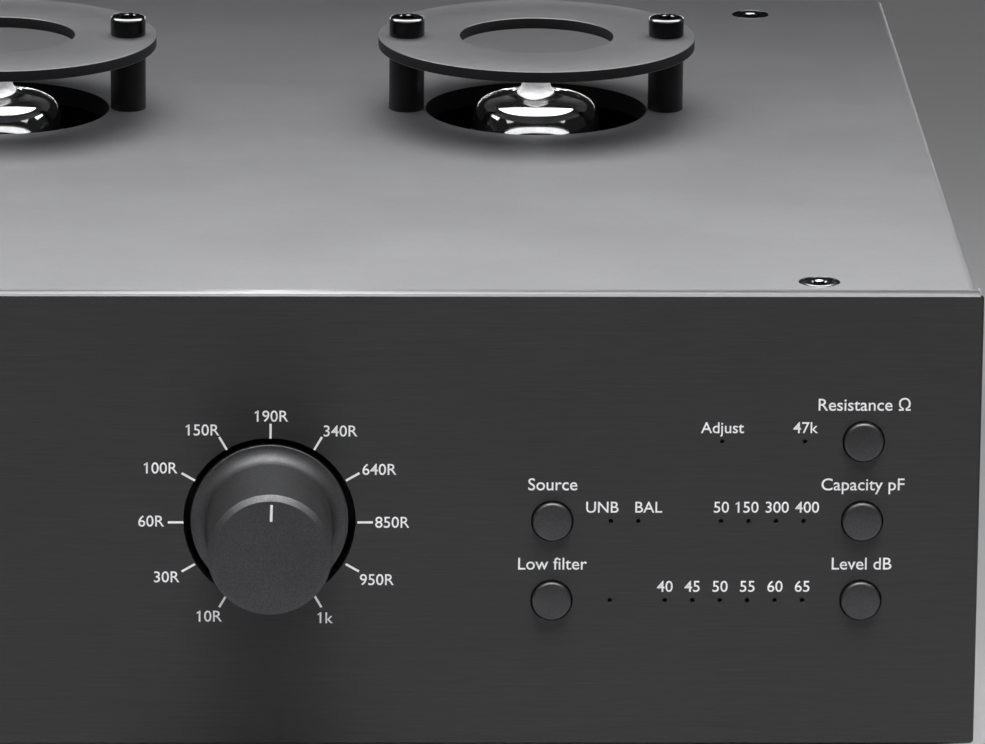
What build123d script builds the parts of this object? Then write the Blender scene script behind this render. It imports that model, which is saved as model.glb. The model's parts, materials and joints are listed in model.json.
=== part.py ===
from build123d import *
import os

os.makedirs("parts", exist_ok=True)

# Two-valve phono preamplifier. Millimetres, +Z up, front towards -Y, feet on Z = 0.

# ---- case ----
PANEL_WIDTH = 206.0
PANEL_HEIGHT = 68.0
PANEL_THICKNESS = 4.0
PANEL_CORNER_RADIUS = 0.7
PANEL_EDGE_CHAMFER = 0.3
CASE_DEPTH = 189.0             # front face to the rear edge of the cover
COVER_WALL = 3.0
COVER_SIDE_INSET = 0.85        # each cover side stands in from the panel's end
COVER_EDGE_RADIUS = 1.2
REBATE_DEPTH = 1.3             # seat for the cover milled in the panel's back
SLIP = 0.1                     # clearance between plates that slide together
SEAT_GAP = 0.03                # between a loose piece and the face that it sits on
FOOT_HEIGHT = 4.0
FOOT_RADIUS = 9.0
FOOT_EDGE = 0.6
FOOT_RECESS = 2.2              # depth of the hole that hides the screw's head
FOOT_INSET = 21.0              # panel's end in to each foot
FOOT_FRONT_DEPTH = 22.0
FOOT_REAR_INSET = 21.0         # cover's rear edge forward to the rear feet
TRAY_WALL = 1.5
TRAY_LIP = 14.0
TRAY_SCREW_DROP = 5.0          # top of the tray's lip down to its screws
TRAY_SCREW_X = 60.0
VENT_LENGTH = 34.0
VENT_WIDTH = 2.6
VENT_PITCH = 7.0
VENTS_PER_VALVE = 6
REAR_PANEL_WALL = 2.0
REAR_PANEL_INSET = 1.0         # the cover overhangs the rear panel by this
FRONT_RAIL_DEPTH = 6.8
RAIL_HEIGHT = 8.0
RAIL_SCREW_X = 50.0
REAR_RAIL_LEG = 12.0
REAR_RAIL_WALL = 3.0
REAR_RAIL_SCREW_X = 53.0
REAR_RAIL_SCREW_RISE = 4.0     # lower edge of the rail's leg up to its screws
CUT_OVERRUN = 1.0              # cuts run this far past the faces they open

# ---- threads ----
M3_RADIUS = 1.5
TAPPED_GAP = 0.03              # radial gap between a screw and its tapped hole
THROUGH_GAP = 0.15             # radial gap between a screw and its through hole
PAN_HEAD_RADIUS = 2.75
PAN_HEAD_HEIGHT = 1.8
CONE_HEAD_RADIUS = 3.0
CONE_SEAT_GAP = 0.1
KEY_WIDTH = 2.0                # across the flats of the screws' sockets
KEY_DEPTH = 1.0
NUT_RADIUS = 3.1
NUT_HEIGHT = 2.4
SCREW_RUNOUT = 1.0             # thread that shows past a nut or a tapped wall
BOARD_SCREW_LENGTH = 4.5
REAR_SCREW_LENGTH = 5.0
SOCKET_SCREW_LENGTH = 6.0

# ---- controls on the front ----
KNOB_PROJECTION = 17.75
KNOB_RADIUS = 9.05
KNOB_FACE_RADIUS = 8.95
KNOB_SKIRT_RADIUS = 11.45
KNOB_SKIRT_LENGTH = 3.2        # the skirt runs back from the panel's face
KNOB_EDGE_RADIUS = 0.75
KNOB_HOLE_RADIUS = 12.5
POINTER_WIDTH = 0.4
POINTER_LENGTH = 2.5
POINTER_DEPTH = 0.15
POINTER_MARGIN = 1.3           # face edge to the pointer's outer end
SHAFT_RADIUS = 3.0
SHAFT_BORE_GAP = 0.03
SHAFT_RUNNING_GAP = 0.05
SHAFT_GRIP = 13.0              # length of shaft inside the knob
GRUB_RADIUS = 1.5
GRUB_SETBACK = 5.5             # panel's face forward to the grub screw
GRUB_RECESS = 0.8              # grub screw below the knob's side
GRUB_KEY_WIDTH = 1.5
GRUB_KEY_DEPTH = 1.5
ROW_PITCH = 12.0
SELECT_INSET = 17.0            # panel's end in to the outer buttons
COLUMN_SPACING = 45.0          # outer column of buttons in to the second column
BUTTON_HOLE_RADIUS = 3.1
BUTTON_RADIUS = 2.9
BUTTON_PROUD = 0.85
BUTTON_EDGE_RADIUS = 0.5
BUTTON_FLANGE_RADIUS = 4.0
BUTTON_FLANGE_THICKNESS = 1.2
BUTTON_TRAVEL = 0.5
BUTTON_BACK_GAP = 0.05         # flange to the panel's back
STEM_RADIUS = 1.6
LAMP_LEAD = 8.5                # second column of buttons out to the first lamp
LAMP_PITCH = 4.0
LAMP_HOLE_RADIUS = 0.35
LAMP_GUIDE_GAP = 0.03
LAMP_GUIDE_RECESS = 0.15
GUIDE_COLLAR_RADIUS = 1.2
LAMP_SIZE = 2.0
LAMP_HEIGHT = 2.4

# ---- control board, behind the panel ----
CONTROL_BOARD_GAP = 10.0
BOARD_THICKNESS = 1.6
CONTROL_BOARD_SIDE_GAP = 4.05
CONTROL_BOARD_DROP = 6.0       # lowest row of controls down to the board's edge
CONTROL_BOARD_RISE = 8.0       # highest row of controls up to the board's edge
POST_RADIUS = 2.5
POST_OUTER_INSET = 3.5         # board's end in to the outer posts
POST_OUTER_SPREAD = 6.0        # posts stand this far above and below the knob's height
POST_INNER_X = 22.0
POST_INNER_SPREAD = 14.5
POST_STUD_LENGTH = 2.5
POST_THREAD_DEPTH = 5.0
SWITCH_SIZE = 6.0
SWITCH_HEIGHT = 3.5
PLUNGER_RADIUS = 1.7
PLUNGER_PROUD = 1.2
PLUNGER_FLOOR_GAP = 0.3        # left under the plunger when it is pressed
SWITCH_BORE_GAP = 0.1
DIAL_BODY_SIZE = 17.0
DIAL_BODY_CORNER = 1.5
DIAL_BODY_LENGTH = 9.0
DIAL_BODY_END = 1.5            # wall behind the shaft
DIAL_BUSH_RADIUS = 4.5
DIAL_BUSH_LENGTH = 5.5         # ahead of the board's front
DIAL_NUT_RADIUS = 6.5
DIAL_NUT_HEIGHT = 2.2

# ---- valves and their guards ----
VALVE_X = 42.1
VALVE_SETBACK = 76.0           # cover's rear edge forward to the valves
VALVE_HOLE_RADIUS = 17.3
VALVE_RADIUS = 11.0
VALVE_GLASS_WALL = 1.0
VALVE_LENGTH = 48.0            # seat to the tip of the glass
VALVE_TIP_RISE = 8.6           # tip above the cover
PIN_CIRCLE_RADIUS = 5.95
PIN_COUNT = 9
PIN_STEP = 36.0
PIN_RADIUS = 0.5
PIN_LENGTH = 7.0
PIN_GAP = 0.04
GLASS_BASE = 2.0
GLASS_FOOT_RADIUS = 2.0
DOME_DROP = 15.6               # tip down to where the side of the glass starts to turn in
DOME_SHOULDER = ((1.3, 8.6), (2.9, 6.85))          # in from the glass's side, down from its tip
DOME_TIP = ((5.0, 5.75), (2.7, 4.6), (1.9, 2.2))   # out from the axis, down from the tip
MICA_RADIUS = 9.8
MICA_THICKNESS = 0.4
MICA_LOW = 6.0
ANODE_HEIGHT = 22.0
ANODE_WIDTH = 6.5
ANODE_DEPTH = 11.0
ANODE_GAP = 1.5                # between the two anodes
ANODE_CORNER = 1.5
GETTER_RADIUS = 3.5
GETTER_WIRE = 0.45
GETTER_POST_RADIUS = 0.35
GETTER_HEIGHT = 33.5
SOCKET_RADIUS = 11.0
SOCKET_CENTRE_RADIUS = 2.95
SOCKET_LEG_LENGTH = 3.2
GUARD_RADIUS = 24.75
GUARD_HOLE_RADIUS = 12.0
GUARD_THICKNESS = 1.75
GUARD_STANDOFF_HEIGHT = 10.05
GUARD_STANDOFF_RADIUS = 2.75
STANDOFF_THREAD_DEPTH = 6.5
GUARD_SCREW_SPREAD = 20.3      # valve axis to each standoff
GUARD_EDGE = 0.15
CAP_HEAD_HEIGHT = 3.0
CAP_HEAD_RADIUS = 2.75
CAP_HEAD_EDGE = 0.45
CAP_SCREW_LENGTH = 7.0
CAP_KEY_WIDTH = 2.5
CAP_KEY_DEPTH = 1.6
COVER_SCREW_INSET = 22.5       # cover's side in to its screws
COVER_SCREW_FRONT_DEPTH = 7.4
COVER_SCREW_REAR_INSET = 10.2
COVER_SCREW_LENGTH = 8.0

# ---- main board ----
MAIN_BOARD_STANDOFF = 10.0
MAIN_BOARD_SIDE_GAP = 6.05
MAIN_BOARD_START = 26.0
MAIN_BOARD_REAR_GAP = 17.0     # cover's rear edge forward to the board
MAIN_STANDOFF_INSET = 5.0      # board's side in to its standoffs
STANDOFF_FRONT_INSET = 8.0
STANDOFF_MIDDLE_LEAD = 15.0    # middle row of standoffs ahead of the valves
STANDOFF_REAR_INSET = 16.0
FILTER_CAP_INSET = 27.0        # board's side in to the middle of the filter capacitors
FILTER_CAP_DEPTH = 66.0
FILTER_CAP_PITCH_X = 18.0
FILTER_CAP_PITCH_Y = 19.0
FILTER_CAP_RADIUS = 8.0
FILTER_CAP_HEIGHT = 25.0
FILTER_CAP_EDGE = 1.0
FILM_CAP_X = 14.0
FILM_CAP_LEAD = 14.0           # middle of the film capacitors ahead of the valves
FILM_CAP_PITCH = 11.0
FILM_CAPS_PER_SIDE = 4
FILM_CAP_LENGTH = 18.0
FILM_CAP_WIDTH = 7.5
FILM_CAP_HEIGHT = 14.0
RELAY_INSET = 31.0             # board's rear edge forward to the relays
RELAY_PITCH = 22.0
RELAY_COUNT = 7
RELAY_LENGTH = 15.0
RELAY_WIDTH = 7.5
RELAY_HEIGHT = 10.0
CHIP_INSET = 21.0              # board's side in to the chips
CHIP_PITCH = 14.0
CHIP_LENGTH = 10.0
CHIP_WIDTH = 6.4
CHIP_HEIGHT = 3.4
SINK_INSET = 29.0
SINK_DEPTH = 62.0
SINK_WIDTH = 34.0
SINK_BASE = 3.0
SINK_HEIGHT = 28.0
SINK_FIN = 1.4
SINK_FIN_LENGTH = 12.0
SINK_FINS = 9
REGULATOR_PITCH = 14.0
REGULATOR_RISE = 4.0
REGULATOR_WIDTH = 10.0
REGULATOR_THICKNESS = 4.4
REGULATOR_HEIGHT = 15.0
LEG_PITCH = 2.54
LEG_WIDTH = 0.8
LEG_THICKNESS = 0.5
LEGS_PER_REGULATOR = 3

# ---- flat cable between the boards ----
RIBBON_X = -46.0
RIBBON_WIDTH = 22.0
RIBBON_THICKNESS = 1.0
RIBBON_BEND = 8.0
RIBBON_RISE = 4.0              # the knob's height up to the cable
RIBBON_DEPTH = 38.0
HEADER_HEIGHT = 7.0
HEADER_BODY = 6.0
HEADER_MARGIN = 2.0            # header beyond the cable at each end

# ---- sockets on the rear ----
BALANCED_DROP = 2.0            # below the case's middle height
BALANCED_PITCH = 28.0
BALANCED_SHIFT = 1.0           # pair's middle out from halfway between phono sockets and inlet
BALANCED_FLANGE_WIDTH = 26.0
BALANCED_FLANGE_HEIGHT = 31.0
BALANCED_FLANGE = 2.5
BALANCED_FLANGE_CORNER = 3.0
BALANCED_BODY_RADIUS = 11.8
BALANCED_BODY_LENGTH = 20.0
BALANCED_HOLE_RADIUS = 12.0
BALANCED_CAVITY_RADIUS = 9.6
BALANCED_CAVITY_DEPTH = 14.5
BALANCED_CORE_RADIUS = 7.7     # the part of an input's insert that a plug's shell goes over
BALANCED_PIN_CIRCLE = 3.9
BALANCED_PIN_COUNT = 3
BALANCED_PIN_START = 30.0      # angle of the first pin above the horizontal
BALANCED_PIN_RADIUS = 1.2
BALANCED_PIN_SETBACK = 2.5     # pin's end behind the flange's face
BALANCED_PIN_TAIL = 4.0
BALANCED_SCREW_X = 9.5
BALANCED_SCREW_Z = 12.0
LATCH_WIDTH = 7.0
LATCH_HEIGHT = 2.2
LATCH_DEPTH = 11.0
LATCH_PROUD = 2.5
LATCH_RISE = 10.4              # socket axis to the latch slot's floor
LATCH_TRAVEL = 1.0
LATCH_GAP = 0.15
LATCH_EDGE = 0.4
LATCH_HOUSING_WALL = 1.0
PHONO_X = 14.0                 # outputs to the left, inputs to the right
PHONO_LOW_RISE = 21.0          # bottom of the case up to the lower row
PHONO_HIGH_DROP = 20.0         # underside of the cover down to the upper row
PHONO_BARREL_RADIUS = 4.15
PHONO_BARREL_LENGTH = 9.5
PHONO_BARREL_WALL = 0.8
PHONO_FLANGE_RADIUS = 6.2
PHONO_FLANGE = 1.5
PHONO_THREAD_RADIUS = 4.6
PHONO_BORE_RADIUS = 1.6
PHONO_CONTACT_RADIUS = 2.1
PHONO_TAIL = 10.0
PHONO_INSERT_SETBACK = 0.4     # insert's end behind the barrel's end
PHONO_CONTACT_SETBACK = 0.6
PHONO_CONTACT_TAIL = 3.0
PANEL_NUT_HEIGHT = 2.0
GROUND_X = 0.0
GROUND_DROP = 1.0              # below the case's middle height
GROUND_STUD_RADIUS = 2.0
GROUND_STUD_EDGE = 0.4
GROUND_STUD_TAIL = 6.0
GROUND_SLIDE_GAP = 0.06        # radial gap of the washer and the thumb nut on the stud
GROUND_PANEL_NUT_RADIUS = 4.0
GROUND_BASE_RADIUS = 5.0
GROUND_BASE = 2.0
GROUND_WASHER_RADIUS = 4.4
GROUND_WASHER = 0.8
GROUND_NUT_RADIUS = 5.0
GROUND_NUT_LENGTH = 8.0
GROUND_KNURLS = 24
GROUND_KNURL_RADIUS = 0.3
TERMINAL_REACH = 15.75         # ground stud's end beyond the rear panel
DC_INSET = 9.05                # rear panel's end in to the inlet
DC_RISE = 22.0                 # bottom of the case up to the inlet
DC_NOSE_RADIUS = 4.0
DC_NOSE_PROUD = 0.6
DC_BORE_RADIUS = 2.9
DC_BORE_DEPTH = 9.0
DC_PIN_RADIUS = 1.0
DC_PIN_SETBACK = 0.5
DC_BODY_LENGTH = 13.0
DC_BODY_WIDTH = 9.0
DC_BODY_HEIGHT = 11.0

# ---- derived places ----
FACE = KNOB_PROJECTION - (KNOB_PROJECTION + CASE_DEPTH - REAR_PANEL_INSET + TERMINAL_REACH) / 2
PANEL_BACK = FACE + PANEL_THICKNESS
COVER_FRONT = PANEL_BACK - REBATE_DEPTH + SLIP
COVER_REAR = FACE + CASE_DEPTH
REAR_FACE = COVER_REAR - REAR_PANEL_INSET
REAR_PANEL_FRONT = REAR_FACE - REAR_PANEL_WALL
BASE = FOOT_HEIGHT
TOP = BASE + PANEL_HEIGHT
MIDDLE = BASE + PANEL_HEIGHT / 2
UNDER_COVER = TOP - COVER_WALL
COVER_WIDTH = PANEL_WIDTH - 2 * COVER_SIDE_INSET
INNER_WIDTH = COVER_WIDTH - 2 * COVER_WALL - 2 * SLIP
FLOOR = BASE + TRAY_WALL
BOARD_UNDERSIDE = FLOOR + MAIN_BOARD_STANDOFF
BOARD_TOP = BOARD_UNDERSIDE + BOARD_THICKNESS
CONTROL_FRONT = PANEL_BACK + CONTROL_BOARD_GAP
CONTROL_BACK = CONTROL_FRONT + BOARD_THICKNESS
SWITCH_FRONT = CONTROL_FRONT - SWITCH_HEIGHT
VALVE_Y = COVER_REAR - VALVE_SETBACK
VALVE_TIP = TOP + VALVE_TIP_RISE
VALVE_SEAT = VALVE_TIP - VALVE_LENGTH
GUARD_UNDERSIDE = TOP + GUARD_STANDOFF_HEIGHT
GUARD_TOP = GUARD_UNDERSIDE + GUARD_THICKNESS
TAPPED_RADIUS = M3_RADIUS + TAPPED_GAP
THROUGH_RADIUS = M3_RADIUS + THROUGH_GAP
LEFT_RIGHT = (-1, 1)
SIDE_NAMES = {-1: "left", 1: "right"}
ROW_TOP = MIDDLE + ROW_PITCH
ROW_LOW = MIDDLE - ROW_PITCH
SELECT_X = PANEL_WIDTH / 2 - SELECT_INSET
CHOICE_X = SELECT_X - COLUMN_SPACING
LAMP_FIRST_X = CHOICE_X + LAMP_LEAD
FOOT_X = PANEL_WIDTH / 2 - FOOT_INSET
COVER_SCREW_X = COVER_WIDTH / 2 - COVER_SCREW_INSET
CONTROL_BOARD_WIDTH = INNER_WIDTH - 2 * CONTROL_BOARD_SIDE_GAP
POST_OUTER_X = CONTROL_BOARD_WIDTH / 2 - POST_OUTER_INSET
MAIN_BOARD_WIDTH = INNER_WIDTH - 2 * MAIN_BOARD_SIDE_GAP
MAIN_BOARD_FRONT = FACE + MAIN_BOARD_START
MAIN_BOARD_REAR = COVER_REAR - MAIN_BOARD_REAR_GAP
MAIN_STANDOFF_X = MAIN_BOARD_WIDTH / 2 - MAIN_STANDOFF_INSET
FILTER_CAP_X = FILTER_CAP_INSET - MAIN_BOARD_WIDTH / 2
CHIP_X = MAIN_BOARD_WIDTH / 2 - CHIP_INSET
SINK_X = MAIN_BOARD_WIDTH / 2 - SINK_INSET
DC_X = DC_INSET - INNER_WIDTH / 2
DC_Z = BASE + DC_RISE
BALANCED_Z = MIDDLE - BALANCED_DROP
BALANCED_MIDDLE_X = (PHONO_X - DC_X) / 2 + BALANCED_SHIFT
BALANCED_INPUT_X = (BALANCED_MIDDLE_X - BALANCED_PITCH / 2, BALANCED_MIDDLE_X + BALANCED_PITCH / 2)
BALANCED_OUTPUT_X = tuple(-x for x in reversed(BALANCED_INPUT_X))
PHONO_ROW_Z = (BASE + PHONO_LOW_RISE, UNDER_COVER - PHONO_HIGH_DROP)
GROUND_Z = MIDDLE - GROUND_DROP
BUTTONS = {
    "button_resistance": (SELECT_X, ROW_TOP),
    "button_capacitance": (SELECT_X, MIDDLE),
    "button_level": (SELECT_X, ROW_LOW),
    "button_source": (CHOICE_X, MIDDLE),
    "button_low_cut": (CHOICE_X, ROW_LOW),
    "button_power": (-SELECT_X, MIDDLE),
}
LAMP_ROWS = {ROW_TOP: (4, 7), MIDDLE: (0, 1, 4, 5, 6, 7), ROW_LOW: (0, 2, 3, 4, 5, 6, 7)}
LAMPS = [(LAMP_FIRST_X + LAMP_PITCH * column, z) for z, row in LAMP_ROWS.items() for column in row]
LAMPS.append((LAMP_PITCH * 2 - SELECT_X, MIDDLE))
FRONT_COVER_SCREWS = [(side * COVER_SCREW_X, FACE + COVER_SCREW_FRONT_DEPTH) for side in LEFT_RIGHT]
REAR_COVER_SCREWS = [(side * COVER_SCREW_X, COVER_REAR - COVER_SCREW_REAR_INSET) for side in LEFT_RIGHT]
COVER_SCREWS = FRONT_COVER_SCREWS + REAR_COVER_SCREWS
FOOT_ROWS = (FACE + FOOT_FRONT_DEPTH, COVER_REAR - FOOT_REAR_INSET)
FOOT_PLACES = [(x, y) for x in (-FOOT_X, FOOT_X) for y in FOOT_ROWS]
STANDOFF_ROWS = (
    MAIN_BOARD_FRONT + STANDOFF_FRONT_INSET,
    VALVE_Y - STANDOFF_MIDDLE_LEAD,
    MAIN_BOARD_REAR - STANDOFF_REAR_INSET,
)
STANDOFF_PLACES = [(side * MAIN_STANDOFF_X, y) for side in LEFT_RIGHT for y in STANDOFF_ROWS]
GUARD_POSTS = [
    (side * VALVE_X + spread, VALVE_Y)
    for side in LEFT_RIGHT
    for spread in (-GUARD_SCREW_SPREAD, GUARD_SCREW_SPREAD)
]
CONTROL_POSTS = [
    (side * x, MIDDLE + row * spread)
    for x, spread in ((POST_OUTER_X, POST_OUTER_SPREAD), (POST_INNER_X, POST_INNER_SPREAD))
    for side in LEFT_RIGHT
    for row in LEFT_RIGHT
]
RAIL_SCREWS = [(side * RAIL_SCREW_X, UNDER_COVER - RAIL_HEIGHT / 2) for side in LEFT_RIGHT]
TRAY_SCREWS = [(x, BASE + TRAY_LIP - TRAY_SCREW_DROP) for x in (-TRAY_SCREW_X, 0, TRAY_SCREW_X)]
REAR_TOP_SCREWS = [
    (side * REAR_RAIL_SCREW_X, UNDER_COVER - REAR_RAIL_LEG + REAR_RAIL_SCREW_RISE)
    for side in LEFT_RIGHT
]
CONTROL_BOARD_LOW = ROW_LOW - CONTROL_BOARD_DROP
CONTROL_BOARD_HIGH = ROW_TOP + CONTROL_BOARD_RISE
SINK_Y = FACE + SINK_DEPTH
STANDOFF_STUD = COVER_WALL + NUT_HEIGHT + SCREW_RUNOUT
PLUNGER_LENGTH = PLUNGER_PROUD + SWITCH_HEIGHT - BUTTON_TRAVEL - PLUNGER_FLOOR_GAP
GUIDE_BACK = CONTROL_FRONT - LAMP_HEIGHT
BUSH_FRONT = CONTROL_FRONT - DIAL_BUSH_LENGTH
SHAFT_BACK = CONTROL_BACK + DIAL_BODY_LENGTH - DIAL_BODY_END
SHAFT_FRONT = FACE + KNOB_SKIRT_LENGTH - SHAFT_GRIP
GRUB_Y = FACE - GRUB_SETBACK
RIBBON_HIGH = MIDDLE + RIBBON_RISE
RIBBON_DROP = FACE + RIBBON_DEPTH
LATCH_SLOT_WIDTH = LATCH_WIDTH + 2 * LATCH_GAP
LATCH_SLOT_HEIGHT = LATCH_TRAVEL + LATCH_HEIGHT + 2 * LATCH_GAP
LATCH_HOUSING_WIDTH = LATCH_SLOT_WIDTH + 2 * LATCH_HOUSING_WALL
LATCH_HOUSING_TOP = LATCH_RISE + LATCH_SLOT_HEIGHT + LATCH_HOUSING_WALL
PHONO_PLACES = [(side * PHONO_X, z) for side in LEFT_RIGHT for z in PHONO_ROW_Z]
BALANCED_PLACES = [(x, BALANCED_Z) for x in BALANCED_OUTPUT_X + BALANCED_INPUT_X]
INSERT_RADIUS = PHONO_BARREL_RADIUS - PHONO_BARREL_WALL
BARREL_END = REAR_FACE + PHONO_BARREL_LENGTH
TAIL_START = REAR_PANEL_FRONT - PHONO_TAIL
FLANGE_FACE = REAR_FACE + BALANCED_FLANGE
SOCKET_BACK = REAR_FACE - BALANCED_BODY_LENGTH
CAVITY_FLOOR = FLANGE_FACE - BALANCED_CAVITY_DEPTH
LATCH_LOW = LATCH_RISE + LATCH_TRAVEL + LATCH_GAP
WASHER_BACK = REAR_FACE + GROUND_BASE + SEAT_GAP
THUMB_NUT_BACK = WASHER_BACK + GROUND_WASHER + SEAT_GAP


def upright(y):
    """Sketch plane seen from the front, at depth y: X to the right, Z up."""
    return Plane.XZ.offset(-y)


def level(z):
    """Sketch plane seen from above, at height z."""
    return Plane.XY.offset(z)


def beside(x, y, z):
    """Upright plane through a vertical axis at x, y: radius to the right, height up."""
    return Plane(origin=(x, y, z), x_dir=(1, 0, 0), z_dir=(0, -1, 0))


def along(x, y, z):
    """Plane through an axis that runs along Y: depth to the right, radius up."""
    return Plane(origin=(x, y, z), x_dir=(0, 1, 0), z_dir=(1, 0, 0))


def pin_places(side):
    """Centres of one valve's pins, evenly spaced but for one gap at the front."""
    spokes = [Vector(0, -PIN_CIRCLE_RADIUS).rotate(Axis.Z, PIN_STEP * (k + 1)) for k in range(PIN_COUNT)]
    return [(side * VALVE_X + spoke.X, VALVE_Y + spoke.Y) for spoke in spokes]


def flange_screws(places):
    """Screws of the balanced sockets at the given x: upper left and lower right of each."""
    return [
        (x + side * BALANCED_SCREW_X, BALANCED_Z - side * BALANCED_SCREW_Z)
        for x in places
        for side in LEFT_RIGHT
    ]


def save(builder, node):
    """Label the finished piece and write it to its own file."""
    builder.part.label = node
    export_step(builder.part, f"parts/{node}.step")


# ---- front panel: holes for the knob, buttons and lamps, a seat for the cover behind ----
with BuildPart() as front_panel:
    with BuildSketch(upright(FACE)):
        with Locations((0, MIDDLE)):
            RectangleRounded(PANEL_WIDTH, PANEL_HEIGHT, PANEL_CORNER_RADIUS)
    extrude(amount=-PANEL_THICKNESS)
    chamfer(front_panel.faces().sort_by(Axis.Y)[0].edges(), PANEL_EDGE_CHAMFER)
    with BuildSketch(upright(FACE)):
        with Locations((0, MIDDLE)):
            Circle(KNOB_HOLE_RADIUS)
        with Locations(*BUTTONS.values()):
            Circle(BUTTON_HOLE_RADIUS)
        with Locations(*LAMPS):
            Circle(LAMP_HOLE_RADIUS)
    extrude(amount=-PANEL_THICKNESS, mode=Mode.SUBTRACT)
    with BuildSketch(upright(PANEL_BACK)):
        with Locations((0, BASE - CUT_OVERRUN)):
            Rectangle(
                COVER_WIDTH + 2 * SLIP,
                PANEL_HEIGHT + 2 * CUT_OVERRUN,
                align=(Align.CENTER, Align.MIN),
            )
            Rectangle(
                COVER_WIDTH - 2 * COVER_WALL - 2 * SLIP,
                PANEL_HEIGHT + CUT_OVERRUN - COVER_WALL - SLIP,
                align=(Align.CENTER, Align.MIN),
                mode=Mode.SUBTRACT,
            )
    extrude(amount=REBATE_DEPTH, mode=Mode.SUBTRACT)
    with BuildSketch(upright(PANEL_BACK)):
        with Locations(*CONTROL_POSTS, *RAIL_SCREWS, *TRAY_SCREWS):
            Circle(TAPPED_RADIUS)
    extrude(amount=POST_STUD_LENGTH + SLIP, mode=Mode.SUBTRACT)
save(front_panel, "front_panel")

# ---- cover: an upside-down channel with a hole over each valve ----
with BuildPart() as top_cover:
    with BuildSketch(upright(COVER_FRONT)):
        with Locations((0, BASE)):
            Rectangle(COVER_WIDTH, PANEL_HEIGHT, align=(Align.CENTER, Align.MIN))
            Rectangle(
                COVER_WIDTH - 2 * COVER_WALL,
                PANEL_HEIGHT - COVER_WALL,
                align=(Align.CENTER, Align.MIN),
                mode=Mode.SUBTRACT,
            )
    extrude(amount=-(COVER_REAR - COVER_FRONT))
    top_edges = top_cover.faces().sort_by(Axis.Z)[-1].edges().filter_by(Axis.Y)
    fillet(top_edges, COVER_EDGE_RADIUS)
    with BuildSketch(level(TOP)):
        with Locations((-VALVE_X, VALVE_Y), (VALVE_X, VALVE_Y)):
            Circle(VALVE_HOLE_RADIUS)
        with Locations(*GUARD_POSTS):
            Circle(THROUGH_RADIUS)
    extrude(amount=-COVER_WALL, mode=Mode.SUBTRACT)
    with Locations(*[(x, y, TOP) for x, y in COVER_SCREWS]):
        CounterSinkHole(THROUGH_RADIUS, CONE_HEAD_RADIUS + CONE_SEAT_GAP, COVER_WALL)
save(top_cover, "top_cover")

# ---- tray: folded sheet that closes the case below ----
with BuildPart() as base_tray:
    tray_length = REAR_PANEL_FRONT - PANEL_BACK
    with BuildSketch(level(BASE)):
        with Locations((0, (PANEL_BACK + REAR_PANEL_FRONT) / 2)):
            Rectangle(INNER_WIDTH, tray_length)
    extrude(amount=TRAY_LIP)
    with BuildSketch(level(FLOOR)):
        with Locations((0, (PANEL_BACK + REAR_PANEL_FRONT) / 2)):
            Rectangle(INNER_WIDTH - 2 * TRAY_WALL, tray_length - 2 * TRAY_WALL)
    extrude(amount=TRAY_LIP, mode=Mode.SUBTRACT)
    with BuildSketch(level(BASE)):
        for side in LEFT_RIGHT:
            with Locations((side * VALVE_X, VALVE_Y)):
                with GridLocations(VENT_PITCH, 1, VENTS_PER_VALVE, 1):
                    SlotOverall(VENT_LENGTH, VENT_WIDTH, rotation=90)
        with Locations(*FOOT_PLACES, *STANDOFF_PLACES):
            Circle(TAPPED_RADIUS)
    extrude(amount=TRAY_WALL, mode=Mode.SUBTRACT)
    with BuildSketch(upright(PANEL_BACK)):
        with Locations(*TRAY_SCREWS):
            Circle(THROUGH_RADIUS)
    extrude(amount=-tray_length, mode=Mode.SUBTRACT)
save(base_tray, "base_tray")

# ---- rear panel ----
with BuildPart() as rear_panel:
    with BuildSketch(upright(REAR_PANEL_FRONT)):
        with Locations((0, BASE)):
            Rectangle(INNER_WIDTH, PANEL_HEIGHT - COVER_WALL - SLIP, align=(Align.CENTER, Align.MIN))
        with Locations(*BALANCED_PLACES):
            Circle(BALANCED_HOLE_RADIUS, mode=Mode.SUBTRACT)
        with Locations(*[(x, BALANCED_Z) for x in BALANCED_INPUT_X]):
            Rectangle(
                LATCH_HOUSING_WIDTH + 2 * SLIP,
                LATCH_HOUSING_TOP + SLIP,
                align=(Align.CENTER, Align.MIN),
                mode=Mode.SUBTRACT,
            )
        with Locations(*PHONO_PLACES):
            Circle(PHONO_THREAD_RADIUS + SLIP, mode=Mode.SUBTRACT)
        with Locations((GROUND_X, GROUND_Z)):
            Circle(GROUND_STUD_RADIUS + SLIP, mode=Mode.SUBTRACT)
        with Locations((DC_X, DC_Z)):
            Circle(DC_NOSE_RADIUS + SLIP, mode=Mode.SUBTRACT)
        with Locations(*REAR_TOP_SCREWS, *TRAY_SCREWS, *flange_screws(BALANCED_OUTPUT_X + BALANCED_INPUT_X)):
            Circle(THROUGH_RADIUS, mode=Mode.SUBTRACT)
    extrude(amount=-REAR_PANEL_WALL)
save(rear_panel, "rear_panel")

# ---- rails that the cover is screwed to ----
with BuildPart() as front_rail:
    with BuildSketch(upright(PANEL_BACK)):
        with Locations((0, UNDER_COVER)):
            Rectangle(INNER_WIDTH, RAIL_HEIGHT, align=(Align.CENTER, Align.MAX))
        with Locations(*RAIL_SCREWS):
            Circle(THROUGH_RADIUS, mode=Mode.SUBTRACT)
    extrude(amount=-FRONT_RAIL_DEPTH)
    with BuildSketch(level(UNDER_COVER)):
        with Locations(*FRONT_COVER_SCREWS):
            Circle(TAPPED_RADIUS)
    extrude(amount=-RAIL_HEIGHT, mode=Mode.SUBTRACT)
save(front_rail, "front_rail")

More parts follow.
